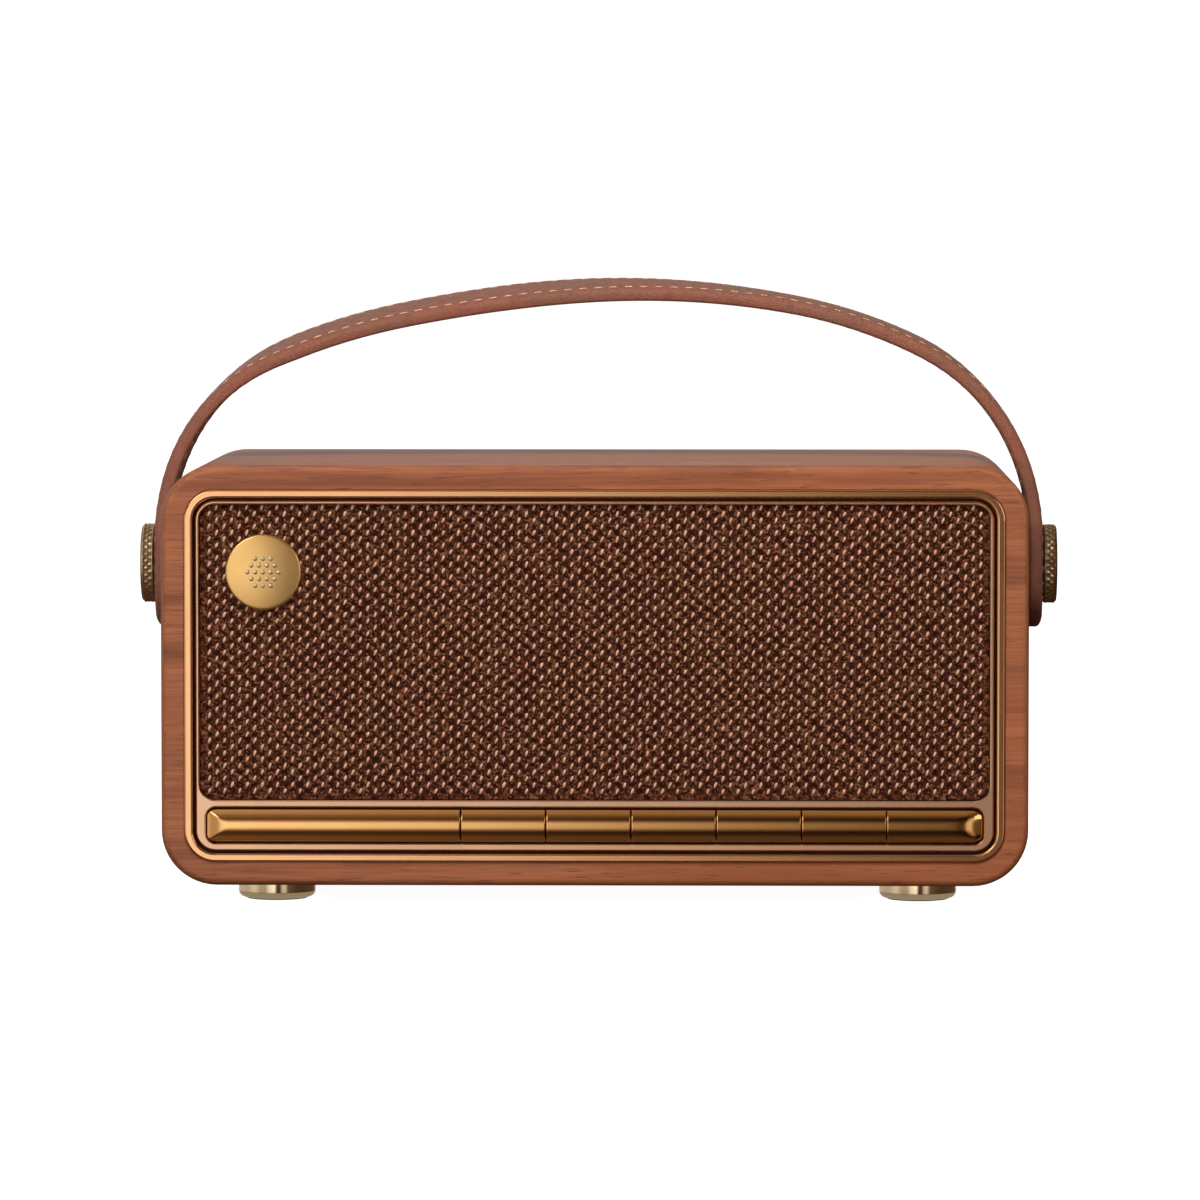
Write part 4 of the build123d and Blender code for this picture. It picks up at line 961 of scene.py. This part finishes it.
def leather_face(half, level, way, crown, edge):
    """Half of a section: points across a leather face with rounded edges and a stitch channel.
    The face is at level, and way is 1 where it looks out and -1 where it looks in."""
    round_over = min(edge, half * 0.6)
    places = [half - round_over * (1 - math.sin(math.pi / 2 * k / 5)) for k in range(6)]
    places += [half * share for share in (0.94, 0.9)] if half < 6 else []
    channel = half - STITCH_INSET
    if half >= 6:
        places += [channel + offset for offset in (-1.0, -0.7, -0.35, 0.0, 0.35, 0.7, 1.0)]
    else:
        places += [half * share for share in (0.85, 0.8, 0.7, 0.6, 0.5)]
    places += [half * share for share in (0.45, 0.3, 0.15, 0.0)]
    ordered = sorted(set(places), reverse=True)
    points = []
    for place in ordered:
        inside = max(0.0, place - (half - round_over))
        drop = round_over - math.sqrt(max(0.0, round_over**2 - inside**2))
        drop += crown * (place / half) ** 2 * min(1.0, half / 8)
        if half >= 6 and abs(place - channel) < CHANNEL_HALF:
            drop += CHANNEL_DEPTH * (1 + math.cos(math.pi * (place - channel) / CHANNEL_HALF)) / 2
        points.append((place, level - way * drop))
    return points


def strap_section(distance, layer):
    """Closed section (across, out) of the outer leather or the lining, thinner at a tab's round end."""
    z = arch(distance)[1]
    half = strap_half_width(z)
    joint = LINING_T - STRAP_T / 2
    way = 1 if layer == "outer" else -1
    inside = max(0.0, 1 - (STRAP_HALF_LENGTH - abs(distance)) / END_ROUND[layer])
    thinned = END_DROP[layer] * (1 - math.sqrt(max(0.0, 1 - inside**2)))
    face = leather_face(half, way * (STRAP_T / 2 - thinned), way, 0.35, EDGE_ROUND[layer])
    face = [(across, way * max(way * out, way * joint + 0.12)) for across, out in face]
    upper = [(-across, out) for across, out in face]
    upper += [(across, out) for across, out in reversed(face[:-1])]
    pocket = min(CORE_HALF + 0.05, half * 0.8)
    depth = CORE_T if layer == "outer" and z > STRAP_END_Z + 8 else 0.02
    if layer == "outer":
        seat = [(half, joint), (pocket, joint), (pocket, joint + depth)]
        seat += [(-pocket, joint + depth), (-pocket, joint), (-half, joint)]
    else:
        seat = [(half, joint), (pocket, joint), (pocket / 2, joint)]
        seat += [(-pocket / 2, joint), (-pocket, joint), (-half, joint)]
    return upper + seat


def strap_shape(layer):
    rings = []
    for distance in strap_stations(STRAP_HALF_LENGTH):
        section = strap_section(distance, layer)
        rings.append([strap_place(distance, across, out) for across, out in section])
    return loft(rings)


def core_shape():
    low = LINING_T - STRAP_T / 2
    high = low + CORE_T
    corners = ((-CORE_HALF, low), (CORE_HALF, low), (CORE_HALF, high), (-CORE_HALF, high))
    reach = STRAP_HALF_LENGTH - 8
    rings = []
    for distance in np.linspace(-reach, reach, 180):
        rings.append([strap_place(distance, across, out) for across, out in corners])
    return loft(rings)


def stitch(face, steps, place):
    """One stitch on the outer face, 1, or the inner, -1. From a share of its length, -1 to 1, an
    offset across it and a level, place gives a point of it."""
    level = face * (STRAP_T / 2 - STITCH_SUNK)
    rings = []
    for step in range(steps):
        share = 2 * step / (steps - 1) - 1
        thread = STITCH_R * math.sqrt(max(0.08, 1 - share**4))
        ring = []
        for turn in (math.pi / 3 * corner for corner in range(6)):
            out = level + face * (thread * math.sin(turn) - STITCH_DIP * share**4)
            ring.append(place(share, thread * math.cos(turn), out))
        rings.append(ring)
    return loft(rings)


def row_stitch(face, side, centre):
    """A stitch on the row along one edge of the strap."""

    def place(share, offset, out):
        distance = centre + share * STITCH_L / 2
        row = strap_half_width(arch(distance)[1]) - STITCH_INSET
        return strap_place(distance, side * row + offset + STITCH_LEAN * share, out)

    return stitch(face, 7, place)


def tab_stitch(face, side, number, end):
    """A stitch on the row's half circle round the tab at one end of the strap."""
    step = math.pi / TAB_STITCHES

    def place(share, offset, out):
        angle = (number - 0.5) * step + share * 0.36 * step
        radius = STRAP_HALF_END - STITCH_INSET + offset
        distance = end * (STRAP_HALF_LENGTH - STRAP_HALF_END + radius * math.sin(angle))
        return strap_place(distance, side * radius * math.cos(angle), out)

    return stitch(face, 5, place)


def stitch_shapes():
    """Two rows of slanted thread on both faces, and round the tabs."""
    shapes = []
    count = int((STRAP_HALF_LENGTH - STRAP_HALF_END) / STITCH_PITCH)
    for face in (1, -1):
        for side in (-1, 1):
            for number in range(-count, count + 1):
                shapes.append(row_stitch(face, side, number * STITCH_PITCH))
            for number in range(1, TAB_STITCHES // 2 + 1):
                for end in (1, -1):
                    shapes.append(tab_stitch(face, side, number, end))
    return shapes


def paint_edges(piece):
    """Gives the faces along the strap's cut edges the edge paint."""
    for polygon in piece.data.polygons:
        x, _, z = polygon.center / MM
        half = strap_half_width(z)
        if abs(polygon.normal.y) > 0.55 and abs(polygon.center.y / MM) > half * 0.6:
            polygon.material_index = 1
        if z < STRAP_END_Z + STRAP_HALF_END and abs(polygon.normal.x) < 0.72:
            polygon.material_index = 1


def drill_studs(piece):
    """Cuts the two stud holes through the strap's tabs."""

    def place(radius, height, turn):
        return (height, radius * math.cos(turn), AXIS_Z + radius * math.sin(turn))

    bar = turned([(STUD_HOLE_R, -LEG_X - 9), (STUD_HOLE_R, LEG_X + 9)], 48, place)
    drill = add_piece("drill", bar, [], "cabinet")
    cut = piece.modifiers.new("stud_holes", "BOOLEAN")
    cut.operation = "DIFFERENCE"
    cut.solver = "EXACT"
    cut.object = drill
    bpy.context.view_layer.update()
    drilled = piece.evaluated_get(bpy.context.evaluated_depsgraph_get())
    cut_mesh = bpy.data.meshes.new_from_object(drilled)
    piece.modifiers.remove(cut)
    piece.data = cut_mesh
    bpy.data.objects.remove(drill)


outer_leather = [finishes["strap_leather"], edge_paint]
inner_leather = [lining_leather, edge_paint]
strap_outer = add_piece(
    "strap_leather_outer", strap_shape("outer"), outer_leather, "handle", 55
)
strap_inner = add_piece(
    "strap_leather_lining", strap_shape("lining"), inner_leather, "handle", 55
)
strap_band = add_piece("strap_core_band", core_shape(), [finishes["steel"]], "handle")
bands = ((strap_outer, "handle_strap"), (strap_inner, "strap_lining"), (strap_band, "strap_core"))
for band, node in bands:
    drill_studs(band)
    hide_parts(node)
paint_edges(strap_outer)
paint_edges(strap_inner)
add_piece("strap_stitching", joined(stitch_shapes()), [stitch_yarn], "handle", 80)


# -------- floor, light and camera
def glowing(name, cloud_size, dark, pale, glow, strength):
    """A matt pale material that also gives light."""
    g = Graph(bpy.data.materials.new(name))
    cloud = g.noise(g.place((cloud_size, cloud_size, cloud_size)), 1.0, 2.0)
    colour = g.ramp(cloud, (0.3, dark), (0.7, pale))
    g.finish(colour, 0.9, Specular_IOR_Level=0.1, Emission_Color=glow, Emission_Strength=strength)
    return g


def floor_discs(name, material, centres, radius, sides):
    """Level discs that belong to the floor, round centres given in metres."""
    points, faces = [], []
    for x, y, z in centres:
        faces.append(tuple(range(len(points), len(points) + sides)))
        for turn in (2 * math.pi * i / sides for i in range(sides)):
            points.append((x + radius * math.cos(turn), y + radius * math.sin(turn), z))
    mesh = bpy.data.meshes.new(name)
    mesh.from_pydata(points, [], faces)
    mesh.materials.append(material)
    discs = bpy.data.objects.new(name, mesh)
    scene.collection.objects.link(discs)
    discs.visible_diffuse = False
    return discs


def studio_floor():
    """A wide pale disc that the object stands on; seen from below it lets the view through."""
    g = glowing("studio_floor", 0.004, [0.86] * 3, [0.90] * 3, (1, 1, 1, 1), FLOOR_GLOW)
    lit = g.nodes["Principled BSDF"].outputs[0]
    above_and_below = {0: g.add("NewGeometry", "Backfacing"), 1: lit, 2: g.add("BsdfTransparent", 0)}
    g.put(g.add("MixShader", 0, above_and_below), g.nodes["Material Output"].inputs["Surface"])
    floor = floor_discs("floor", g.owner, [(0, 0, 0)], FLOOR_R, 96)
    floor.visible_glossy = False
    floor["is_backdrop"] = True


def foot_light():
    """A dim patch of floor round each foot, which only the polished feet reflect."""
    dark, pale = (0.12, 0.11, 0.10), (0.16, 0.15, 0.14)
    g = glowing("foot_light", 0.02, dark, pale, (1.0, 0.96, 0.88, 1), PATCH_GLOW)
    centres = [(middle(node).x, middle(node).y, PATCH_Z) for node in FEET]
    patch = floor_discs("foot_light", g.owner, centres, PATCH_R, 48)
    patch.visible_camera = False
    patch.visible_shadow = False
    patch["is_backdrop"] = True


FLOOR_R = 4.0
PATCH_R = 0.016
PATCH_Z = 0.0002
PATCH_GLOW = 0.30
FLOOR_GLOW = 0.95
WHITE = 1.05
# Strength of the studio's light in front of the object, by the sine of its height above the horizon
FRONT_BY_HEIGHT = (
    (-1.0, 0.10),
    (-0.87, 0.15),
    (-0.75, 0.09),
    (-0.60, 0.05),
    (-0.48, 0.07),
    (-0.36, 0.24),
    (-0.24, 0.66),
    (-0.13, 1.12),
    (0.06, 1.15),
    (0.17, 0.74),
    (0.28, 0.32),
    (0.37, 0.13),
    (0.46, 0.10),
    (0.66, 0.20),
    (0.80, 0.38),
    (1.0, 0.45),
)
# and how much of it is left by the share of the direction that points to the right
BAND_BY_BEARING = (
    (-1.0, 0.60),
    (-0.92, 0.70),
    (-0.75, 0.45),
    (-0.55, 0.45),
    (-0.30, 1.0),
    (-0.09, 1.27),
    (-0.045, 1.05),
    (-0.012, 0.30),
    (0.03, 0.06),
    (0.20, 0.06),
    (0.30, 0.60),
    (0.44, 0.70),
    (0.60, 0.12),
    (1.0, 0.06),
)
BACK_BY_HEIGHT = (
    (-1.0, 0.04),
    (-0.30, 0.10),
    (-0.12, 0.55),
    (0.03, 0.80),
    (0.40, 0.46),
    (1.0, 0.45),
)


def studio_world():
    """White to the camera; to everything else a studio with a soft band of light at eye height."""
    scene.world = bpy.data.worlds.new("studio")
    g = Graph(scene.world)

    def table(value, rows):
        """Values read from rows of (place, value), places running from -1 to 1."""
        stops = [((place + 1) / 2, [strength / 2] * 3) for place, strength in rows]
        share = g.math("MULTIPLY_ADD", value, 0.5, 0.5)
        return g.math("MULTIPLY", g.ramp(share, *stops, curve="EASE"), 2.0)

    x, y, z = g.axes(g.coordinates.outputs["Generated"])
    steep = g.levels(g.math("ABSOLUTE", z), 0.35, 0.75)
    bearing = g.math("MAXIMUM", table(x, BAND_BY_BEARING), g.math("MULTIPLY", steep, 0.7))
    front = g.math("MULTIPLY", table(z, FRONT_BY_HEIGHT), bearing)
    left_side = g.levels(x, -0.2, 0.75, 1.0, 0.15)
    back = g.math("MULTIPLY", table(z, BACK_BY_HEIGHT), left_side)
    behind = g.levels(y, -0.15, 0.15)
    in_front = g.math("MULTIPLY", front, g.math("SUBTRACT", 1.0, behind))
    light = g.math("ADD", in_front, g.math("MULTIPLY", back, behind))
    tint = g.mix(g.levels(light, 0.05, 0.75), (1.0, 0.66, 0.42, 1), (1.0, 0.985, 0.965, 1))
    studio = g.nodes["Background"]
    g.put(light, studio.inputs["Strength"])
    g.put(tint, studio.inputs["Color"])
    seen = g.add("Background", 0, {"Color": (1, 1, 1, 1), "Strength": WHITE})
    choice = {0: g.add("LightPath", "Is Camera Ray"), 1: studio.outputs[0], 2: seen}
    g.put(g.add("MixShader", 0, choice), g.nodes["World Output"].inputs["Surface"])


def looking(place, target):
    """Rotation of a lamp or a camera at place that faces target."""
    return (Vector(target) - Vector(place)).to_track_quat("-Z", "Y").to_euler()


def softbox(name, place, size, power, glossy):
    """A soft lamp that faces the object; reflections show it only if it is glossy."""
    lamp = bpy.data.lights.new(name, "AREA")
    lamp.shape = "RECTANGLE"
    lamp.size, lamp.size_y = size
    lamp.energy = power
    lamp_object = bpy.data.objects.new(name, lamp)
    scene.collection.objects.link(lamp_object)
    lamp_object.location = place
    lamp_object.rotation_euler = looking(place, object_middle)
    lamp_object.visible_camera = False
    lamp_object.visible_glossy = glossy


object_middle = (cad_low + cad_high) / 2
studio_floor()
foot_light()
studio_world()
softbox("key_left", (-0.9, -1.5, 0.95), (0.9, 0.7), 7, True)
softbox("top_front", (0.12, -0.60, 0.80), (0.9, 0.3), 8.5, False)
softbox("front", (-0.35, -1.7, 0.30), (0.6, 0.4), 8, False)
softbox("fill_right", (1.3, -1.3, 0.5), (0.8, 0.8), 3, True)

CAMERA_AT = Vector((0.0407, -2.065, 0.199))
CAMERA_AIM = Vector((0.00157, cad_low.y + 0.0014, 0.0863))
camera_data = bpy.data.cameras.new("camera")
camera_data.lens = 217.75
camera_data.sensor_width = 36
camera = bpy.data.objects.new("camera", camera_data)
scene.collection.objects.link(camera)
camera.location = CAMERA_AT
camera.rotation_euler = looking(CAMERA_AT, CAMERA_AIM)
scene.camera = camera
scene.view_settings.view_transform = "Standard"

# -------- sizes and finish
low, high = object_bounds()
{"cad": [list(cad_low), list(cad_high)], "visual": [list(low), list(high)]}
